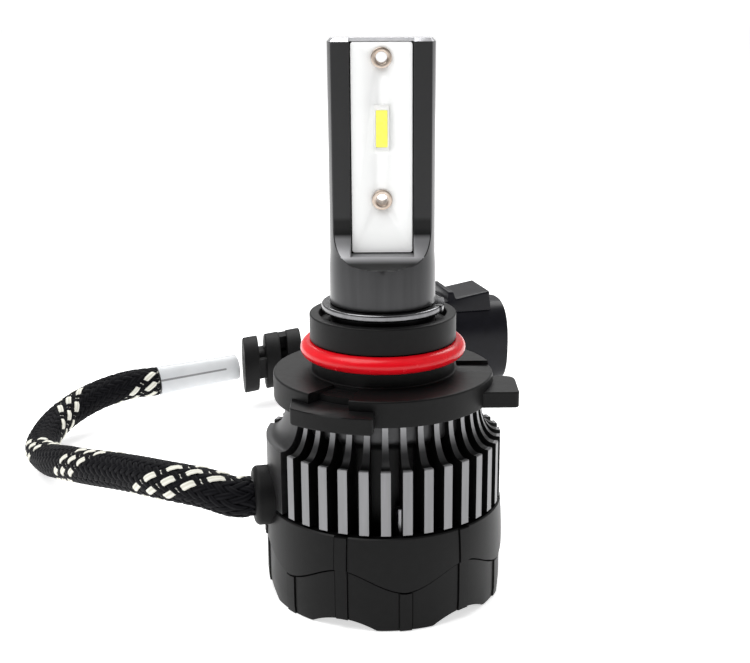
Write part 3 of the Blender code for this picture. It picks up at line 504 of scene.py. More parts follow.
def strand_rows(line, index, turn, tracer):
    """The lines of points along one strand, one for each corner of its flat section."""
    at, places, along, sides, ups = line
    start = TRACER_PHASE + math.tau * (index / STRANDS + turn * at / BRAID_PITCH)
    weave = np.sin(STRANDS / 2 * (start - TRACER_PHASE) + math.pi / 4) * turn
    angle = start + np.radians(np.interp(at / MM, *LEAD_TWIST))
    lift = np.clip(weave * WEAVE_SQUARENESS, -1, 1) * WEAVE_LIFT + (TRACER_LIFT if tracer else 0)
    radius = LEAD_RADIUS - STRAND_HALF_THICK + lift - TRACER_LIFT
    out = ups * np.cos(angle)[:, None] + sides * np.sin(angle)[:, None]
    round_way = -ups * np.sin(angle)[:, None] + sides * np.cos(angle)[:, None]
    width_way = round_way - along * (turn * math.tau * LEAD_RADIUS / BRAID_PITCH)
    width_way /= np.linalg.norm(width_way, axis=1)[:, None]
    half_width = TRACER_HALF_WIDTH if tracer else STRAND_HALF_WIDTH
    rows = []
    for k in range(STRAND_CORNERS):
        a = math.tau * k / STRAND_CORNERS
        shift = out * (radius + math.sin(a) * STRAND_HALF_THICK)[:, None]
        rows.append(places + (shift + width_way * math.cos(a) * half_width))
    return rows


def braid():
    """The woven sleeve of the lead: a dark core tube with the strands of both directions on it."""
    core, black, cream = range(3)
    route = smooth_route(lead_points(), MM)
    line = framed_line(route, BRAID_STEP)
    at, places, _, sides, ups = line
    corners, faces, slots, strand_uvs = [], [], [], []

    def skinned(rows, slot):
        """Faces between neighbouring lines of points, with the place across and along as UV."""
        ring, first = len(rows), len(corners) * len(at)
        corners.extend(rows)
        for i in range(len(at) - 1):
            low_v, high_v = at[i] / MM, at[i + 1] / MM
            for k in range(ring):
                a = first + k * len(at) + i
                b = first + (k + 1) % ring * len(at) + i
                left, right = (0, 0) if slot == core else (k / ring, (k + 1) / ring)
                faces.append((a, a + 1, b + 1, b) if slot == core else (a, b, b + 1, a + 1))
                slots.append(slot)
                strand_uvs.append(((left, low_v), (right, low_v), (right, high_v), (left, high_v)))

    for turn in (1, -1):
        for index in range(STRANDS):
            tracer = turn == -1 and index in TRACER_STRANDS
            skinned(strand_rows(line, index, turn, tracer), cream if tracer else black)
    tube = []
    for k in range(CORE_SIDES):
        a = math.tau * k / CORE_SIDES
        tube.append(places + (ups * math.cos(a) + sides * math.sin(a)) * (LEAD_RADIUS - CORE_SUNK))
    skinned(tube, core)
    mesh = bpy.data.meshes.new("power_lead_braid")
    mesh.from_pydata(np.concatenate(corners).tolist(), [], faces)
    mesh.polygons.foreach_set("material_index", slots)
    uv = mesh.uv_layers.new(name="strand")
    uv.data.foreach_set("uv", np.array(strand_uvs, dtype=np.float32).ravel())
    kinds = ("braid_core", "braid_black", "braid_cream")
    made = piece("power_lead_braid", mesh, kinds, 60)
    form = bmesh.new()
    form.from_mesh(mesh)
    bmesh.ops.recalc_face_normals(form, faces=form.faces)
    form.to_mesh(mesh)
    form.free()
    mesh.shade_smooth()
    return made, route, float(at[-1])


# Plain sleeve, boot and plug on the lead's far end.
LABEL_RADII = (2.8 * MM, 2.45 * MM)
SLEEVE_LIP = 0.35 * MM
SLEEVE_SEAM_AT = 16.0  # degrees round the sleeve
SLEEVE_SHADE_HALF = 2.5  # degrees
SLEEVE_SHADE_SHARE = 0.82  # of the sleeve's length
PLUG_BACK_MM = (-11.5, 86.4, 8.9)
PLUG_TURN = math.radians(15)
PLUG_HEIGHT = 17.6 * MM
PLUG_WIDTH = 15.0 * MM
# Along the plug, and how far in from its full outline.
PLUG_OUTSIDE_MM = (
    *((0, 0.9), (0.12, 0.45), (0.45, 0.12), (0.9, 0)),
    *((36.55, 0), (36.85, 0.09), (37.0, 0.35)),
)
PLUG_INSIDE_MM = ((37.0, 1.2), (36.7, 1.5), (20.0, 1.5))
PIN_SECTIONS_MM = ((14, 1.0, 0.4), (26.2, 1.0, 0.4), (27.0, 0.7, 0.15))
RIB_PROFILE_MM = (
    (12.0, -1.5), (12.0, 1.0), (24.4, 1.0), (24.4, 2.9), (25.5, 2.9), (26.0, 1.4),
    (33.3, 2.6), (33.7, -1.5),
)
RIB_HALF_WIDTH = 5.5 * MM
RIB_EDGE = 0.3 * MM
BOOT_CLEARANCE = 1.6 * MM
BOOT_END_CLEARANCE = 1.7 * MM
BOOT_DISCS = 3
BOOT_DISC = 5.5 * MM
BOOT_DISC_THICKNESS = 3.2 * MM
BOOT_DISC_EDGE = 0.35 * MM
BOOT_CORE = 2.4 * MM
BOOT_BORE = 0.4 * MM
BOOT_BRIDGE = in_mm((-1.7, 2.6), (1.7, 2.6), (1.9, 5.0), (-1.9, 5.0))
BOOT_DISC_TURN = math.radians(10)
PIN_SPACING = 6.0 * MM


def label_sleeve():
    """A shrunk sleeve with a faint ridge where it was pressed flat, and a dark line painted along
    it there: painted shade.
    """
    start, end = (Vector(p) * MM for p in LABEL_ENDS_MM)
    along = (end - start).normalized()
    side = along.cross(Vector((0, 0, 1))).normalized()
    up = side.cross(along)
    count, rows = 90, 40
    form = bmesh.new()
    length = (end - start).length

    def loop(t, radius):
        ripple = 0.03 * MM * math.sin(t * 23) * math.sin(t * 7)
        points = []
        for k in range(count):
            a = math.tau * k / count
            seam = 0.06 * MM * math.exp(-((math.degrees(a) - SLEEVE_SEAM_AT) / 4) ** 2)
            reach = radius + ripple * math.cos(2 * a) + seam
            outward = up * math.sin(a) + side * math.cos(a)
            points.append(start + along * length * t + outward * reach)
        return points

    near, far = LABEL_RADII
    sections = [loop(0.0, near - SLEEVE_LIP)]
    sections += [loop(i / rows, near + (far - near) * (i / rows)) for i in range(rows + 1)]
    for face in loft(form, sections):
        middle = face.calc_center_median() - start
        share = middle.dot(along) / length
        at = math.degrees(math.atan2(middle.dot(up), middle.dot(side)))
        # A strip of faces along the fold takes a dark grey: painted shade.
        if share < SLEEVE_SHADE_SHARE and abs(at - SLEEVE_SEAM_AT) < SLEEVE_SHADE_HALF:
            face.material_index = 1
    kinds = ("sleeve_white", "sleeve_fold_shade")
    made = from_form("label_sleeve_tube", form, kinds, 50)
    return stands_for(made, "label_sleeve")


def boot():
    """Rubber discs on a core, joined by bridges that lie top and bottom, then left and right."""
    start = Vector(LABEL_ENDS_MM[1]) * MM
    back = Vector(PLUG_BACK_MM) * MM
    along = (back - start).normalized()
    start = start + along * BOOT_CLEARANCE
    length = (back - start).length - BOOT_END_CLEARANCE
    pitch = (length - BOOT_DISC_THICKNESS) / BOOT_DISCS
    form = bmesh.new()
    lathe(form, [(BOOT_BORE, length), (BOOT_CORE, length), (BOOT_CORE, 0), (BOOT_BORE, 0)], 32)
    for index in range(BOOT_DISCS):
        low = index * pitch
        high = low + BOOT_DISC_THICKNESS
        rim = [(BOOT_DISC, high, BOOT_DISC_EDGE), (BOOT_DISC, low, BOOT_DISC_EDGE)]
        lathe(form, softened([(1 * MM, high), *rim, (1 * MM, low)]), 48)
        if index == BOOT_DISCS - 1:
            break
        upright = index % 2 == 1
        for side in (-1, 1):
            faces = prism(form, BOOT_BRIDGE, high - 0.2 * MM, low + pitch + 0.2 * MM)
            turn = (0 if side > 0 else math.pi) + (0 if upright else math.pi / 2)
            moved(form, faces, Matrix.Rotation(turn, 4, "Z"))
    side = Vector((-math.sin(BOOT_DISC_TURN), math.cos(BOOT_DISC_TURN), 0))
    lean = Matrix((side, Vector((0, 0, 1)), along)).transposed().to_4x4()
    moved(form, form.faces, Matrix.Translation(start) @ lean)
    made = from_form("ribbed_boot", form, ["rubber_black"])
    return stands_for(made, "strain_relief_boot")


def oval(width, height, count=72, power=2.6):
    points = []
    for i in range(count):
        angle = math.tau * i / count
        c, s = math.cos(angle), math.sin(angle)
        y = width / 2 * math.copysign(abs(c) ** (2 / power), c)
        points.append((y, height / 2 * math.copysign(abs(s) ** (2 / power), s)))
    return points


def plug_place():
    return Matrix.Translation(Vector(PLUG_BACK_MM) * MM) @ Matrix.Rotation(PLUG_TURN, 4, "Z")


def plug():
    def section(x, inset):
        return [(x, y, z) for y, z in oval(PLUG_WIDTH - 2 * inset, PLUG_HEIGHT - 2 * inset)]

    form = bmesh.new()
    loft(form, [section(x, inset) for x, inset in in_mm(*PLUG_OUTSIDE_MM, *PLUG_INSIDE_MM)])
    shell = from_form("plug_body", form, ["plug_black"])
    form = bmesh.new()
    top = PLUG_HEIGHT / 2
    rows = []
    inner = RIB_HALF_WIDTH - RIB_EDGE
    for y, inset in ((-RIB_HALF_WIDTH, 0.25), (-inner, 0), (inner, 0), (RIB_HALF_WIDTH, 0.25)):
        rows.append(
            [(x * MM, y, top + (z - (inset if z > 0 else 0)) * MM) for x, z in RIB_PROFILE_MM]
        )
    loft(form, rows)
    rib = from_form("plug_rib", form, ["plug_black"], 25)
    bevelled(rib, 0.2 * MM)
    joined = bmesh.new()
    joined.from_mesh(shell.data)
    joined.from_mesh(rib.data)
    bpy.data.objects.remove(rib, do_unlink=True)
    joined.to_mesh(shell.data)
    joined.free()
    shaded(shell.data, 30)
    shell.data.transform(plug_place())
    pieces = [stands_for(shell, "plug_shell")]
    for side, name in ((-1, "right"), (1, "left")):
        form = bmesh.new()
        y = side * PIN_SPACING / 2
        rows = []
        for x, a, b in in_mm(*PIN_SECTIONS_MM):
            rows.append([(x, y + i, j) for i, j in ((-a, -b), (a, -b), (a, b), (-a, b))])
        loft(form, rows)
        pin = bevelled(from_form(f"blade_{name}", form, ["pin_tin"]), 0.08 * MM)
        pin.data.transform(plug_place())
        pieces.append(stands_for(pin, f"plug_pin_{name}"))
    return pieces


# Emitter column.
COLUMN_RADIUS = 6.9 * MM
COLUMN_TOP = 74.4 * MM
COLUMN_FOOT = 20.3 * MM
FLAT_HALF = 2.7 * MM
FLAT_FOOT = 50.65 * MM
FLAT_FILLET = 5.0 * MM
WEB_HALF = 1.5 * MM
POCKET_HALF_WIDTH = 4.05 * MM
POCKET_FOOT = 47.0 * MM
STEM_RADIUS = 7.0 * MM
STEM_TOP = 43.6 * MM
TIP_CHAMFER = 0.42 * MM
ARC_POINTS = 14
STEM_SHOULDER = 45.65 * MM
STEM_BORE = 1.6 * MM
STEM_SOFT = 0.12 * MM
STEM_CORNERS = (
    (STEM_BORE, STEM_TOP), (STEM_RADIUS, STEM_TOP), (STEM_RADIUS, 40.3 * MM, STEM_SOFT),
    (6.6 * MM, 40.3 * MM), (6.6 * MM, 39.1 * MM), (STEM_RADIUS, 39.1 * MM, STEM_SOFT),
    (STEM_RADIUS, 30.55 * MM), (6.0 * MM, 30.55 * MM), (6.0 * MM, 29.45 * MM),
    (STEM_RADIUS, 29.45 * MM), (STEM_RADIUS, COLUMN_FOOT, STEM_SOFT),
    (STEM_BORE, COLUMN_FOOT),
)
EYELET_HEIGHTS = (72.0 * MM, 54.1 * MM)


def flat_depth(z):
    """How far from the axis the milled flat lies at this height."""
    if z >= FLAT_FOOT:
        return FLAT_HALF
    fall = min((FLAT_FOOT - z) / FLAT_FILLET, 1)
    return FLAT_HALF + FLAT_FILLET * (1 - math.sqrt(1 - fall * fall))


def mirrored_loop(quarter, z):
    """A closed loop from its front right quarter, whose ends lie on x = 0 and y = 0."""
    right = quarter + [(x, -y) for x, y in reversed(quarter[:-1])]
    loop = right + [(-x, y) for x, y in reversed(right[1:-1])]
    return [(x, y, z) for x, y in loop]


def beam_section(z, inset=0.0):
    radius = COLUMN_RADIUS - inset
    lip = 0.12 * MM
    widest = math.sqrt(radius**2 - (POCKET_HALF_WIDTH + 0.3 * MM) ** 2)
    depth = min(flat_depth(z) - inset * 0.8, widest)
    edge = math.sqrt(radius**2 - depth**2)
    start = math.asin((depth - lip * 0.6) / radius)
    quarter = [
        (0, -WEB_HALF), (POCKET_HALF_WIDTH, -WEB_HALF),
        (POCKET_HALF_WIDTH, -depth + lip), (POCKET_HALF_WIDTH + lip, -depth),
        (edge - lip, -depth),
    ]
    for i in range(ARC_POINTS + 1):
        a = start * (1 - i / ARC_POINTS)
        quarter.append((radius * math.cos(a), -radius * math.sin(a)))
    return mirrored_loop(quarter, z)


def stem_section(z, radius):
    depth = flat_depth(z)
    wide = 24
    edge = math.sqrt(max(radius**2 - depth**2, (2.5 * MM) ** 2))
    quarter = []
    for i in range(wide + 1):
        x = edge * i / wide
        quarter.append((x, -min(depth, math.sqrt(radius**2 - x * x))))
    start = math.acos(edge / radius)
    for i in range(1, ARC_POINTS + 1):
        a = start * (1 - i / ARC_POINTS)
        quarter.append((radius * math.cos(a), -radius * math.sin(a)))
    return mirrored_loop(quarter, z)


def facing_front(height):
    """Turns a form made about Z to lie about the front-to-rear line at a height."""
    return Matrix.Translation((0, 0, height)) @ Matrix.Rotation(math.pi / 2, 4, "X")


def drilled(obj, radius, kinds):
    """Cuts both eyelet holes right through."""
    for height in EYELET_HEIGHTS:
        hole = bmesh.new()
        bmesh.ops.create_cone(
            hole, cap_ends=True, segments=32, radius1=radius, radius2=radius, depth=8 * MM
        )
        moved(hole, hole.faces, facing_front(height))
        cut(obj, hole, kinds)


def column_slot(middle, normal):
    """Which of the column's four looks a face has: flat, stem, bare or dark, where dark is painted
    shade on the upright walls inside the pocket.
    """
    flat, stem, bare, dark = range(4)
    if middle.z > COLUMN_TOP - TIP_CHAMFER:
        return bare
    sunk = abs(middle.y) < flat_depth(middle.z) - 0.1 * MM
    if sunk and middle.z > POCKET_FOOT and abs(middle.x) <= POCKET_HALF_WIDTH + 0.01 * MM:
        # Upright faces in the pocket, its walls and the holes' sides, get near black: painted
        # shade.
        return dark if abs(normal.z) < 0.5 else flat
    if middle.z > STEM_SHOULDER and middle.xy.length < COLUMN_RADIUS - 0.08 * MM:
        return flat
    return stem


def column():
    form = bmesh.new()
    heights = [POCKET_FOOT - 0.3 * MM]
    heights += [POCKET_FOOT + (FLAT_FOOT - POCKET_FOOT) * i / 24 for i in range(25)]
    heights.append(COLUMN_TOP - TIP_CHAMFER)
    sections = [beam_section(z) for z in heights] + [beam_section(COLUMN_TOP, TIP_CHAMFER)]
    loft(form, sections)
    beam = from_form("milled_column", form, [])
    drilled(beam, 1.05 * MM, [])
    form = bmesh.new()
    form.from_mesh(beam.data)
    bpy.data.objects.remove(beam, do_unlink=True)
    lower = [POCKET_FOOT - (POCKET_FOOT - STEM_SHOULDER) * i / 24 for i in range(25)]
    sections = []
    for z in (*lower, 45 * MM, STEM_TOP):
        share = min((POCKET_FOOT - z) / (2 * MM), 1)
        sections.append(stem_section(z, COLUMN_RADIUS + (STEM_RADIUS - COLUMN_RADIUS) * share))
    loft(form, sections)
    lathe(form, softened(STEM_CORNERS), 128)
    bmesh.ops.recalc_face_normals(form, faces=form.faces)
    for face in form.faces:
        face.material_index = column_slot(face.calc_center_median(), face.normal)
    # sink_black on the pocket's walls is painted shade.
    kinds = ("anodised_flat_painted_reflection", "anodised_stem", "bare_edge", "sink_black")
    made = from_form("milled_column", form, kinds, 28)
    return stands_for(made, "emitter_column")


BOARD_INNER = 1.6 * MM
BOARD_OUTER = 2.1 * MM
EMITTER_MIDDLE = 63.2 * MM


def slab(form, side, near, far, half_width, low, high, corner, chamfer):
    """An upright plate on one side of the column, with rounded corners seen from the front."""
    outline = []
    centre, half_height = (low + high) / 2, (high - low) / 2
    for cx, cz, start in ((1, 1, 0), (-1, 1, 90), (-1, -1, 180), (1, -1, 270)):
        for k in range(5):
            a = math.radians(start + 90 * k / 4)
            x = cx * (half_width - corner) + corner * math.cos(a)
            z = centre + cz * (half_height - corner) + corner * math.sin(a)
            outline.append(Vector((x, z)))
    middle = Vector((0, centre))
    rows = []
    for y, inset in ((near, 0), (far - chamfer, 0), (far, chamfer)):
        shrink = Vector((1 - inset / half_width, 1 - inset / half_height))
        small = [(p - middle) * shrink for p in outline]
        rows.append([(p.x, side * y, (middle + p).y) for p in small])
    return loft(form, rows)


def boards():
    for side, name in ((-1, "front"), (1, "rear")):
        form = bmesh.new()
        low, high = 47.2 * MM, 73.9 * MM
        slab(form, side, BOARD_INNER, BOARD_OUTER, 3.9 * MM, low, high, 0.3 * MM, 0.04 * MM)
        board = from_form(f"board_{name}", form, ["board_white"])
        drilled(board, 1.0 * MM, ["board_white"])
        stands_for(board, f"led_board_{name}")
        form = bmesh.new()
        seat = BOARD_OUTER + 0.04 * MM
        low, high = EMITTER_MIDDLE - 2.95 * MM, EMITTER_MIDDLE + 2.95 * MM
        slab(form, side, seat, seat + 0.5 * MM, 0.95 * MM, low, high, 0.15 * MM, 0.06 * MM)
        housing = from_form(f"emitter_frame_{name}", form, ["led_white"])
        form = bmesh.new()
        low, high = EMITTER_MIDDLE - 2.35 * MM, EMITTER_MIDDLE + 2.35 * MM
        slab(form, side, seat + 0.2 * MM, seat + MM, 0.75 * MM, low, high, 0.12 * MM, 0.02 * MM)
        cut(housing, form, ["led_white"])
        stands_for(housing, f"led_frame_{name}")
        form = bmesh.new()
        low, high = low + 0.03 * MM, high - 0.03 * MM
        near, far = seat + 0.23 * MM, seat + 0.49 * MM
        slab(form, side, near, far, 0.72 * MM, low, high, 0.12 * MM, 0.05 * MM)
        light = from_form(f"emitter_phosphor_{name}", form, ["phosphor_yellow"])
        stands_for(light, f"led_phosphor_{name}")


def eyelets():
    bore, shank, head, face = 0.75 * MM, 0.93 * MM, 1.3 * MM, BOARD_OUTER + 0.04 * MM
    top = face + 0.26 * MM
    soft = 0.16 * MM
    for name, height in zip(("upper_eyelet", "lower_eyelet"), EYELET_HEIGHTS):
        form = bmesh.new()
        corners = [
            (bore, top, 0.2 * MM), (head, top, soft), (head, face), (shank, face),
            (shank, -face), (head, -face), (head, -top, soft), (bore, -top, 0.2 * MM),
        ]
        lathe(form, softened(corners, 5), 64)
        moved(form, form.faces, facing_front(height))
        stands_for(from_form(f"{name}_rivet", form, ["eyelet_tin"]), name)


def clip():
    form = bmesh.new()
    ring = in_mm((6.75, 40.2, 0.1), (8.15, 40.2, 0.3), (8.15, 39.2, 0.3), (6.75, 39.2, 0.1))
    ear = in_mm((7.4, 40.25, 0.2), (8.35, 40.25, 0.3), (8.35, 39.2, 0.3), (7.4, 39.2, 0.2))
    half, middle = math.radians(12), math.pi / 2 + math.radians(-4)
    lathe(form, softened(ring, 5), 120, middle + half, middle + math.tau - half)
    for side in (-1, 1):
        angle = middle + side * (half + math.radians(2.5))
        lathe(form, softened(ear, 4), 8, angle - math.radians(3), angle + math.radians(3))
    made = from_form("spring_clip", form, ["clip_black_steel"], 40)
    return stands_for(made, "retaining_clip")


# Collar.
FLANGE_RADIUS = 14.8 * MM
FLANGE_FOOT = 27.4 * MM
FLANGE_TOP = 30.9 * MM
LUG_TOP = 29.55 * MM
LUG_RADIUS = 17.5 * MM
RING_HEIGHT = 34.08 * MM
RING_RADIUS = 9.95 * MM
RING_WIRE = 1.13 * MM
COLLAR_CORNERS = (
    (8.5 * MM, 38.8 * MM, 0.15 * MM), (9.8 * MM, 38.8 * MM, 0.22 * MM),
    (9.8 * MM, 35.3 * MM, 0.1 * MM), (8.7 * MM, 35.3 * MM), (8.7 * MM, 32.85 * MM),
    (9.6 * MM, 32.85 * MM, 0.1 * MM), (9.6 * MM, FLANGE_TOP, 0.25 * MM),
    (FLANGE_RADIUS, FLANGE_TOP, 0.28 * MM), (FLANGE_RADIUS, FLANGE_FOOT, 0.2 * MM),
    (7.15 * MM, FLANGE_FOOT), (7.15 * MM, 37.6 * MM), (8.5 * MM, 37.6 * MM),
)


def sector(inner, outer, start, end, steps=12):
    span = [start + (end - start) * i / steps for i in range(steps + 1)]
    return [polar(outer, a) for a in span] + [polar(inner, a) for a in reversed(span)]


def lug_outlines():
    """The three lugs of the flange seen from above: front, side and rear."""
    left, right = -11.8 * MM, math.radians(-4)
    corner = math.asin(left / LUG_RADIUS)
    rim = [polar(LUG_RADIUS, corner + (right - corner) * i / 20) for i in range(21)]
    front = [(left, -8 * MM), (*rim[0], 0.5 * MM), *rim[1:-1], (*rim[-1], 1.0 * MM)]
    front.append(polar(12 * MM, right))
    side = in_mm((11, -7), (17.8, -7, 0.7), (17.8, 0.5, 1.8), (11, 0.5))
    rear = sector(12 * MM, LUG_RADIUS, math.radians(158), math.radians(196))
    return softened(front, 4), softened(side, 6), rear


def collar():
    nylon = ["collar_nylon"]
    form = bmesh.new()
    lathe(form, softened(COLLAR_CORNERS, 4), 144)
    made = from_form("lamp_collar", form, nylon, 30)
    left, right = math.radians(-40), math.radians(-17)
    channel = in_mm((10.0, -2.1), (16, -2.1), (16, 3.1), (10.0, 3.1))
    for outline, floor_height in (
        (sector(12.8 * MM, 16 * MM, left, right), LUG_TOP - 0.1 * MM),
        (sector(9.9 * MM, 13 * MM, left, right), FLANGE_TOP - 0.45 * MM),
        (channel, FLANGE_TOP - 0.55 * MM),
    ):
        form = bmesh.new()
        prism(form, outline, floor_height, FLANGE_TOP + MM)
        cut(made, form, nylon)
    bevelled(made, 0.1 * MM, 2, 40)
    form = bmesh.new()
    form.from_mesh(made.data)
    for outline in lug_outlines():
        prism(form, [tuple(p) for p in outline], FLANGE_FOOT, LUG_TOP, 0.15 * MM)
    bmesh.ops.recalc_face_normals(form, faces=form.faces)
    form.to_mesh(made.data)
    form.free()
    shaded(made.data, 30)
    return stands_for(made, "adapter_collar", COLLAR)


def o_ring():
    form = bmesh.new()
    profile = []
    for i in range(28):
        a = -math.tau * i / 28
        height = RING_HEIGHT + RING_WIRE * math.sin(a)
        profile.append((RING_RADIUS + RING_WIRE * math.cos(a), height))
    lathe(form, profile, 144)
    made = from_form("sealing_ring", form, ["o_ring_red"], 0)
    made.data.shade_smooth()
    return stands_for(made, "o_ring", COLLAR)


# Heat sink.
SINK_RADIUS = 16.0 * MM
SINK_FOOT = 10.2 * MM
SINK_RIM_FOOT = 13.3 * MM
SINK_SHOULDER = 22.05 * MM
SINK_TOP = 27.0 * MM
SINK_NECK = 13.2 * MM
SINK_CORE = 11.3 * MM
SINK_INSIDE = 10.9 * MM
SINK_STEP = 14.65 * MM
FINS = 36
FIN_PHASE = math.radians(1)
SLOT_WIDTH = 1.55 * MM
BOSS_ANGLES = (math.radians(-101), math.radians(-57))


def sweep_points(steps=10):
    """The fins' tops, from the rim in and up to the neck along a concave arc."""
    rise, reach = SINK_TOP - SINK_SHOULDER, SINK_RADIUS - 0.5 * MM - SINK_NECK
    points = []
    for i in range(steps + 1):
        a = math.pi / 2 * (1 - i / steps)
        points.append((SINK_NECK + reach * (1 - math.cos(a)), SINK_TOP - rise * math.sin(a)))
    return points


def fin(form, angle, slot):
    """One fin, narrower towards the axis so that the slots beside it keep their width."""
    outline = [
        (SINK_INSIDE, SINK_FOOT),
        (SINK_STEP, SINK_FOOT),
        (SINK_STEP, SINK_RIM_FOOT),
        (SINK_RADIUS - 0.1 * MM, SINK_RIM_FOOT),
        (SINK_RADIUS, SINK_RIM_FOOT + 0.1 * MM),
        (SINK_RADIUS, SINK_SHOULDER - 0.12 * MM),
        (SINK_RADIUS - 0.08 * MM, SINK_SHOULDER),
        *sweep_points(),
        (SINK_INSIDE, SINK_TOP),
    ]
    outward = Vector((*polar(1, angle), 0))
    across = Vector((*polar(1, angle + math.pi / 2), 0))
    rows = []
    for side in (-1, 1):
        row = []
        for r, z in outline:
            half = max(r * math.pi / FINS - SLOT_WIDTH / 2, 0.15 * MM)
            row.append(outward * r + across * half * side + Vector((0, 0, z)))
        rows.append(row)
    for face in loft(form, rows, slot):
        face.normal_update()


def heat_sink():
    black, bright, neck, sweep = range(4)
    form = bmesh.new()
    left, right = BOSS_ANGLES
    for index in range(FINS):
        angle = FIN_PHASE + math.tau * index / FINS
        if not left < (angle + math.pi) % math.tau - math.pi < right:
            fin(form, angle, black)
    bmesh.ops.recalc_face_normals(form, faces=form.faces)
    for face in form.faces:
        middle = face.calc_center_median()
        outward = Vector((middle.x, middle.y, 0)).normalized()
        if middle.z > SINK_RIM_FOOT and face.normal.dot(outward) + face.normal.z > 0.75:
            at_rim = middle.z < SINK_SHOULDER + 0.02 * MM
            # Tops above the rim take the painted reflection look.
            face.material_index = bright if at_rim else sweep
    core = [
        (7.1 * MM, SINK_TOP), (12.5 * MM, SINK_TOP, 0.2 * MM),
        (12.5 * MM, 24.6 * MM, 0.5 * MM), (SINK_CORE, 23.4 * MM, 0.5 * MM),
        (SINK_CORE, SINK_FOOT), (9.4 * MM, SINK_FOOT), (9.4 * MM, 20 * MM),
        (7.1 * MM, 20 * MM),
    ]
    for face in lathe(form, softened(core, 4), 144, slot=black):
        if face.calc_center_median().z > 24.3 * MM:
            face.material_index = neck
    boss = [
        (SINK_INSIDE, SINK_TOP),
        *reversed(sweep_points()),
        (SINK_RADIUS, SINK_SHOULDER),
        (SINK_RADIUS, SINK_RIM_FOOT),
        (SINK_STEP, SINK_RIM_FOOT),
        (SINK_STEP, SINK_FOOT),
        (SINK_INSIDE, SINK_FOOT),
    ]
    lathe(form, boss, 24, left, right, neck)
    kinds = ("sink_black", "sink_bright", "sink_neck", "sink_sweep_painted_reflection")
    return stands_for(from_form("finned_sink", form, kinds, 30), "heat_sink")


# Rear cover.
COVER_RADIUS = 16.2 * MM
COVER_INNER = 15.0 * MM
COVER_TOP = 13.0 * MM
ARCHES = 6
ARCH_PHASE = math.radians(-20)
ARCH_HALF_WIDTH = 4.7 * MM
ARCH_DEPTH = 1.3 * MM
SEAM_LOW = 5.5 * MM
SEAM_HIGH = 8.4 * MM
BAR_HALF_WIDTH = 0.8 * MM
BAR_LIFT = 0.2 * MM
GROOVE_MARKS = (0.03 * MM, 0.11 * MM, 0.16 * MM)
GROOVE_DEPTH = 0.12 * MM
PANEL_LIFT = 0.28 * MM
PLATE_TOP = 2.7 * MM
PILLAR_PHASE = math.radians(10)
PILLAR_CIRCLE = 13.1 * MM


def arch_offset(angle):
    """Distance round the cover from the nearest arch's middle."""
    step = math.tau / ARCHES
    near = (angle - ARCH_PHASE + step / 2) % step - step / 2
    return near * COVER_RADIUS


def foot_height(angle):
    off = arch_offset(angle)
    return ARCH_DEPTH * max(0, 1 - (off / ARCH_HALF_WIDTH) ** 2)


def seam_height(angle):
    step = math.tau / ARCHES
    share = abs(arch_offset(angle)) / (step / 2 * COVER_RADIUS)
    wave = 0.5 + 0.5 * math.cos(math.pi * share)
    return SEAM_LOW + (SEAM_HIGH - SEAM_LOW) * (0.75 * wave + 0.25 * (1 - share))


def cover_angles():
    half = BAR_HALF_WIDTH / COVER_RADIUS
    beside = [half + mark / COVER_RADIUS for mark in GROOVE_MARKS]
    lip = beside[-1] - half
    marks = sorted([-b for b in beside] + [-half, -half / 2, 0, half / 2, half] + beside)
    step = math.pi / ARCHES
    angles = []
    for k in range(2 * ARCHES):
        middle = ARCH_PHASE + k * step
        angles += [middle + m for m in marks]
        free = step - 2 * (half + lip)
        angles += [middle + half + lip + free * i / 16 for i in range(1, 16)]
    return angles


def cover_shape(angle):
    """The outer skin's (radius, height) points: foot, lower panel, seam, upper panel."""
    foot, seam = foot_height(angle), seam_height(angle)
    half = BAR_HALF_WIDTH
    off = abs(arch_offset(angle))
    step = math.tau / ARCHES * COVER_RADIUS
    bar_full = off <= half * 1.001
    bar_low = abs(off - step / 2) <= half * 1.001
    low_lift = BAR_LIFT if bar_full or bar_low else 0
    high_lift = BAR_LIFT if bar_full else 0
    nearest = min(off, step / 2 - off) - half
    if 0.001 * MM < nearest < GROOVE_MARKS[1] + 0.01 * MM:
        low_lift = -GROOVE_DEPTH
        high_lift = -GROOVE_DEPTH if off < step / 4 else 0
    base = COVER_RADIUS - 0.12 * MM
    points = [(COVER_RADIUS - 0.45 * MM, foot), (base - 0.12 * MM + low_lift, foot + 0.12 * MM)]
    for i in range(1, 6):
        points.append((base + low_lift, foot + 0.3 * MM + (seam - foot - 0.5 * MM) * i / 5))
    sunk = 0 if bar_full else 0.26 * MM
    points.append((base - sunk + low_lift, seam - 0.04 * MM))
    points.append((base - sunk + high_lift, seam + 0.02 * MM))
    for i in range(7):
        t = i / 6
        bulge = PANEL_LIFT * (1 - t * t * 0.9)
        height = seam + 0.1 * MM + (COVER_TOP - 0.25 * MM - seam) * t
        points.append((base + bulge + high_lift, height))
    points.append((base - 0.15 * MM, COVER_TOP))
    return points


def rear_cover():
    form = bmesh.new()
    rings = []
    for angle in cover_angles():
        points = cover_shape(angle)
        points += [(COVER_INNER, z) for z in (COVER_TOP, PLATE_TOP, foot_height(angle))]
        rings.append([form.verts.new((*polar(r, angle), z)) for r, z in points])
    for near, far in zip(rings, rings[1:] + rings[:1]):
        for k in range(len(near)):
            j = (k + 1) % len(near)
            form.faces.new((near[k], near[j], far[j], far[k]))
    lathe(form, softened(in_mm((11, 2.7, 0.2), (15.1, 2.7), (15.1, 1.7), (11, 1.7, 0.2))), 96)
    for index in range(3):
        faces = lathe(form, in_mm((0.9, 9.9), (1.6, 9.9), (1.6, 2.2), (0.9, 2.2)), 32)
        place = polar(PILLAR_CIRCLE, PILLAR_PHASE + math.tau * index / 3)
        moved(form, faces, Matrix.Translation((*place, 0)))
    made = from_form("fan_cover", form, ["cover_satin"], 32)
    return stands_for(made, "rear_cover")


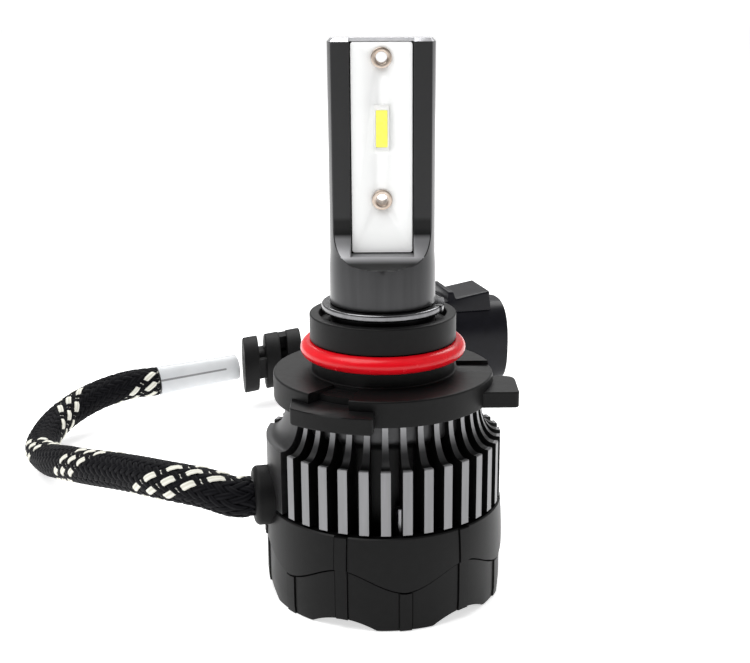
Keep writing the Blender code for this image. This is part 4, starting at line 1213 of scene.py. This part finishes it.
FAN_CASING_MM = ((10.5, 9.6, 0.2), (11.2, 9.6, 0.2), (11.2, 3.0, 0.2), (10.5, 3.0, 0.3))
FAN_SEAT_MM = (
    (1.5, 7.7), (1.9, 7.7), (1.9, 3.8), (4.6, 3.8, 0.2), (4.6, 3.0, 0.25), (0.3, 3.0),
    (0.3, 3.5), (1.5, 3.5),
)
FAN_STRUT_MM = ((-0.7, -4.2), (-0.55, -10.8), (0.55, -10.8), (0.7, -4.2))
FAN_EAR_MM = ((0.9, 4.4), (1.6, 4.4), (1.6, 3.0), (0.9, 3.0))
FAN_EAR_CIRCLE = 12.4 * MM
BLADES = 7
BLADE_ROOT_MM, BLADE_TIP_MM = 5.65, 10.1
HUB_RADIUS = 5.8 * MM
HUB_TOP = 9.3 * MM
HUB_SKIRT = 4.7 * MM
HUB_WALL = 0.6 * MM


def blade(angle):
    """Sections of one fan blade from its root to its tip."""
    rows = []
    for i in range(9):
        radius = BLADE_ROOT_MM * MM + (BLADE_TIP_MM - BLADE_ROOT_MM) * MM * i / 8
        swing = math.radians(30 - 10 * i / 8)
        lean = math.radians(3.5) * math.sin(math.pi * i / 8)
        row = []
        for side in (1, -1):
            for j in range(7):
                t = j / 6 if side > 0 else 1 - j / 6
                thick = (0.12 + 0.16 * math.sin(math.pi * t)) * MM / radius * side
                camber = math.radians(3) * math.sin(math.pi * t)
                a = angle + lean + camber + swing * (t - 0.5) + thick
                height = HUB_SKIRT + 0.3 * MM + (HUB_TOP - HUB_SKIRT - 0.5 * MM) * t
                row.append((*polar(radius, a), height))
        rows.append(row)
    return rows


def fan():
    form = bmesh.new()
    lathe(form, softened(in_mm(*FAN_CASING_MM)), 120)
    lathe(form, softened(in_mm(*FAN_SEAT_MM)), 64)
    for index in range(3):
        angle = PILLAR_PHASE + math.pi / 3 + math.tau * index / 3
        strut = prism(form, in_mm(*FAN_STRUT_MM), 3.0 * MM, 3.8 * MM, 0.12 * MM)
        moved(form, strut, Matrix.Rotation(angle, 4, "Z"))
        ear = lathe(form, in_mm(*FAN_EAR_MM), 32)
        moved(form, ear, Matrix.Translation((*polar(FAN_EAR_CIRCLE, angle), 0)))
    made = from_form("fan_housing", form, ["fan_black"], 32)
    stands_for(made, "fan_frame")
    form = bmesh.new()
    cap = [
        (0.7 * MM, HUB_TOP), (HUB_RADIUS, HUB_TOP, 0.5 * MM), (HUB_RADIUS, HUB_SKIRT),
        (5.4 * MM, HUB_SKIRT), (5.4 * MM, HUB_TOP - HUB_WALL),
        (0.7 * MM, HUB_TOP - HUB_WALL),
    ]
    lathe(form, softened(cap, 4), 96)
    for index in range(BLADES):
        loft(form, blade(math.tau * index / BLADES))
    made = from_form("fan_impeller", form, ["fan_black"], 40)
    stands_for(made, "fan_rotor", ROTOR)


def gland():
    form = bmesh.new()
    corners = in_mm(
        (1.6, 18.1), (2.95, 18.1), (3.55, 18.1, 0.3), (4.05, 17.65, 0.3),
        (4.05, 15.3, 0.2), (2.9, 15.3), (2.9, 11.9), (1.6, 11.9),
    )
    lathe(form, softened(corners, 4), 72)
    turn = Vector((0, 0, 1)).rotation_difference(GLAND_OUT).to_matrix().to_4x4()
    place = Matrix.Translation((0, 0, GLAND_HEIGHT)) @ turn
    moved(form, form.faces, place)
    made = from_form("lead_gland", form, ["rubber_black"], 30)
    return stands_for(made, "cable_gland")


# ---- carried-over pieces and stage


NODE_LOOKS = {
    "stem_seal": "rubber_black",
    "emitter_lead_left": "wire_red",
    "emitter_lead_right": "rubber_black",
    "driver_board": "board_green",
    "driver_inductor": "ferrite_grey",
    "driver_capacitor": "steel_zinc",
    "driver_chip": "ferrite_grey",
    "fan_bearing": "bronze_sintered",
    "fan_board": "board_green",
    "fan_stator": "steel_zinc",
    "fan_magnet": "ferrite_grey",
    "fan_shaft": "steel_zinc",
    "wire_seal_left": "o_ring_red",
    "wire_seal_right": "o_ring_red",
    **{f"fan_coil_{k}": "copper_wire" for k in (1, 2, 3, 4)},
    **{f"cover_screw_{k}": "steel_zinc" for k in (1, 2, 3)},
    **{f"fan_screw_{k}": "steel_zinc" for k in (1, 2, 3)},
}


def carried_over():
    for name, look in NODE_LOOKS.items():
        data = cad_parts[name].data
        data.materials.clear()
        data.materials.append(looks[look])


FLOOR_GLOW = 0.64
WORLD_STRENGTH = 0.45
BACKDROP = 1.1
DARK_FRONT = (0.45, 0.85)
FRONT_TONE = (0.03, 0.03, 0.032, 1)


def floor():
    looks["floor_white"] = made = shader_material("floor_white", (0.9, 0.9, 0.9), 0.9)
    textured(made, (0.9, 0.9, 0.9), (0.91, 0.91, 0.91), 30)
    glowing(made, (1, 1, 1), FLOOR_GLOW)
    form = bmesh.new()
    bmesh.ops.create_grid(form, x_segments=8, y_segments=8, size=3)
    plane = from_form("floor", form, ["floor_white"])
    plane.location.z = -0.02 * MM


def area(name, place, aim, size, power):
    data = bpy.data.lights.new(name, "AREA")
    data.shape = "RECTANGLE"
    data.size, data.size_y = size
    data.energy = power
    made = bpy.data.objects.new(name, data)
    made.location = place
    made.rotation_euler = (Vector(aim) - Vector(place)).to_track_quat("-Z", "Y").to_euler()
    bpy.context.scene.collection.objects.link(made)


def studio():
    """White all round, darker behind the camera so that the blacks stay deep, and two lights."""
    world = bpy.data.worlds.new("studio")
    bpy.context.scene.world = world
    world.use_nodes = True
    background = world.node_tree.nodes["Background"]
    background.inputs["Strength"].default_value = WORLD_STRENGTH
    where = node(world, "ShaderNodeTexCoord")
    split = node(world, "ShaderNodeSeparateXYZ")
    wire(world, where, "Generated", split, "Vector")
    away = node(world, "ShaderNodeMath", operation="MULTIPLY")
    away.inputs[1].default_value = -1
    wire(world, split, "Y", away, 0)
    front = node(world, "ShaderNodeMapRange", interpolation_type="SMOOTHSTEP")
    front.inputs["From Min"].default_value, front.inputs["From Max"].default_value = DARK_FRONT
    wire(world, away, 0, front, "Value")
    shade = node(world, "ShaderNodeMix", data_type="RGBA", in_A=(1, 1, 1, 1), in_B=FRONT_TONE)
    wire(world, front, "Result", shade, "Factor")
    seen = node(world, "ShaderNodeLightPath")
    backdrop = (BACKDROP / WORLD_STRENGTH,) * 3 + (1,)
    white = node(world, "ShaderNodeMix", data_type="RGBA", in_B=backdrop)
    wire(world, seen, "Is Camera Ray", white, "Factor")
    wire(world, shade, "Result", white, "A")
    wire(world, white, "Result", background, "Color")
    area("key", (-0.25, -0.1, 0.6), (0, 0.02, 0.03), (0.5, 0.5), 3)
    area("back", (0.1, 0.5, 0.5), (0, 0.03, 0.0), (0.7, 0.3), 3)
    view = bpy.context.scene.view_settings
    view.view_transform = "Standard"
    view.look = "None"
    view.exposure = 0.0


fill_looks()
camera()
lead, lead_route, lead_length = braid()
stands_for(lead, "power_lead")
sleeve = label_sleeve()
relief = boot()
plug_pieces = plug()
outlet = gland()
column()
boards()
eyelets()
clip()
collar()
o_ring()
heat_sink()
rear_cover()
fan()
carried_over()
floor()
studio()
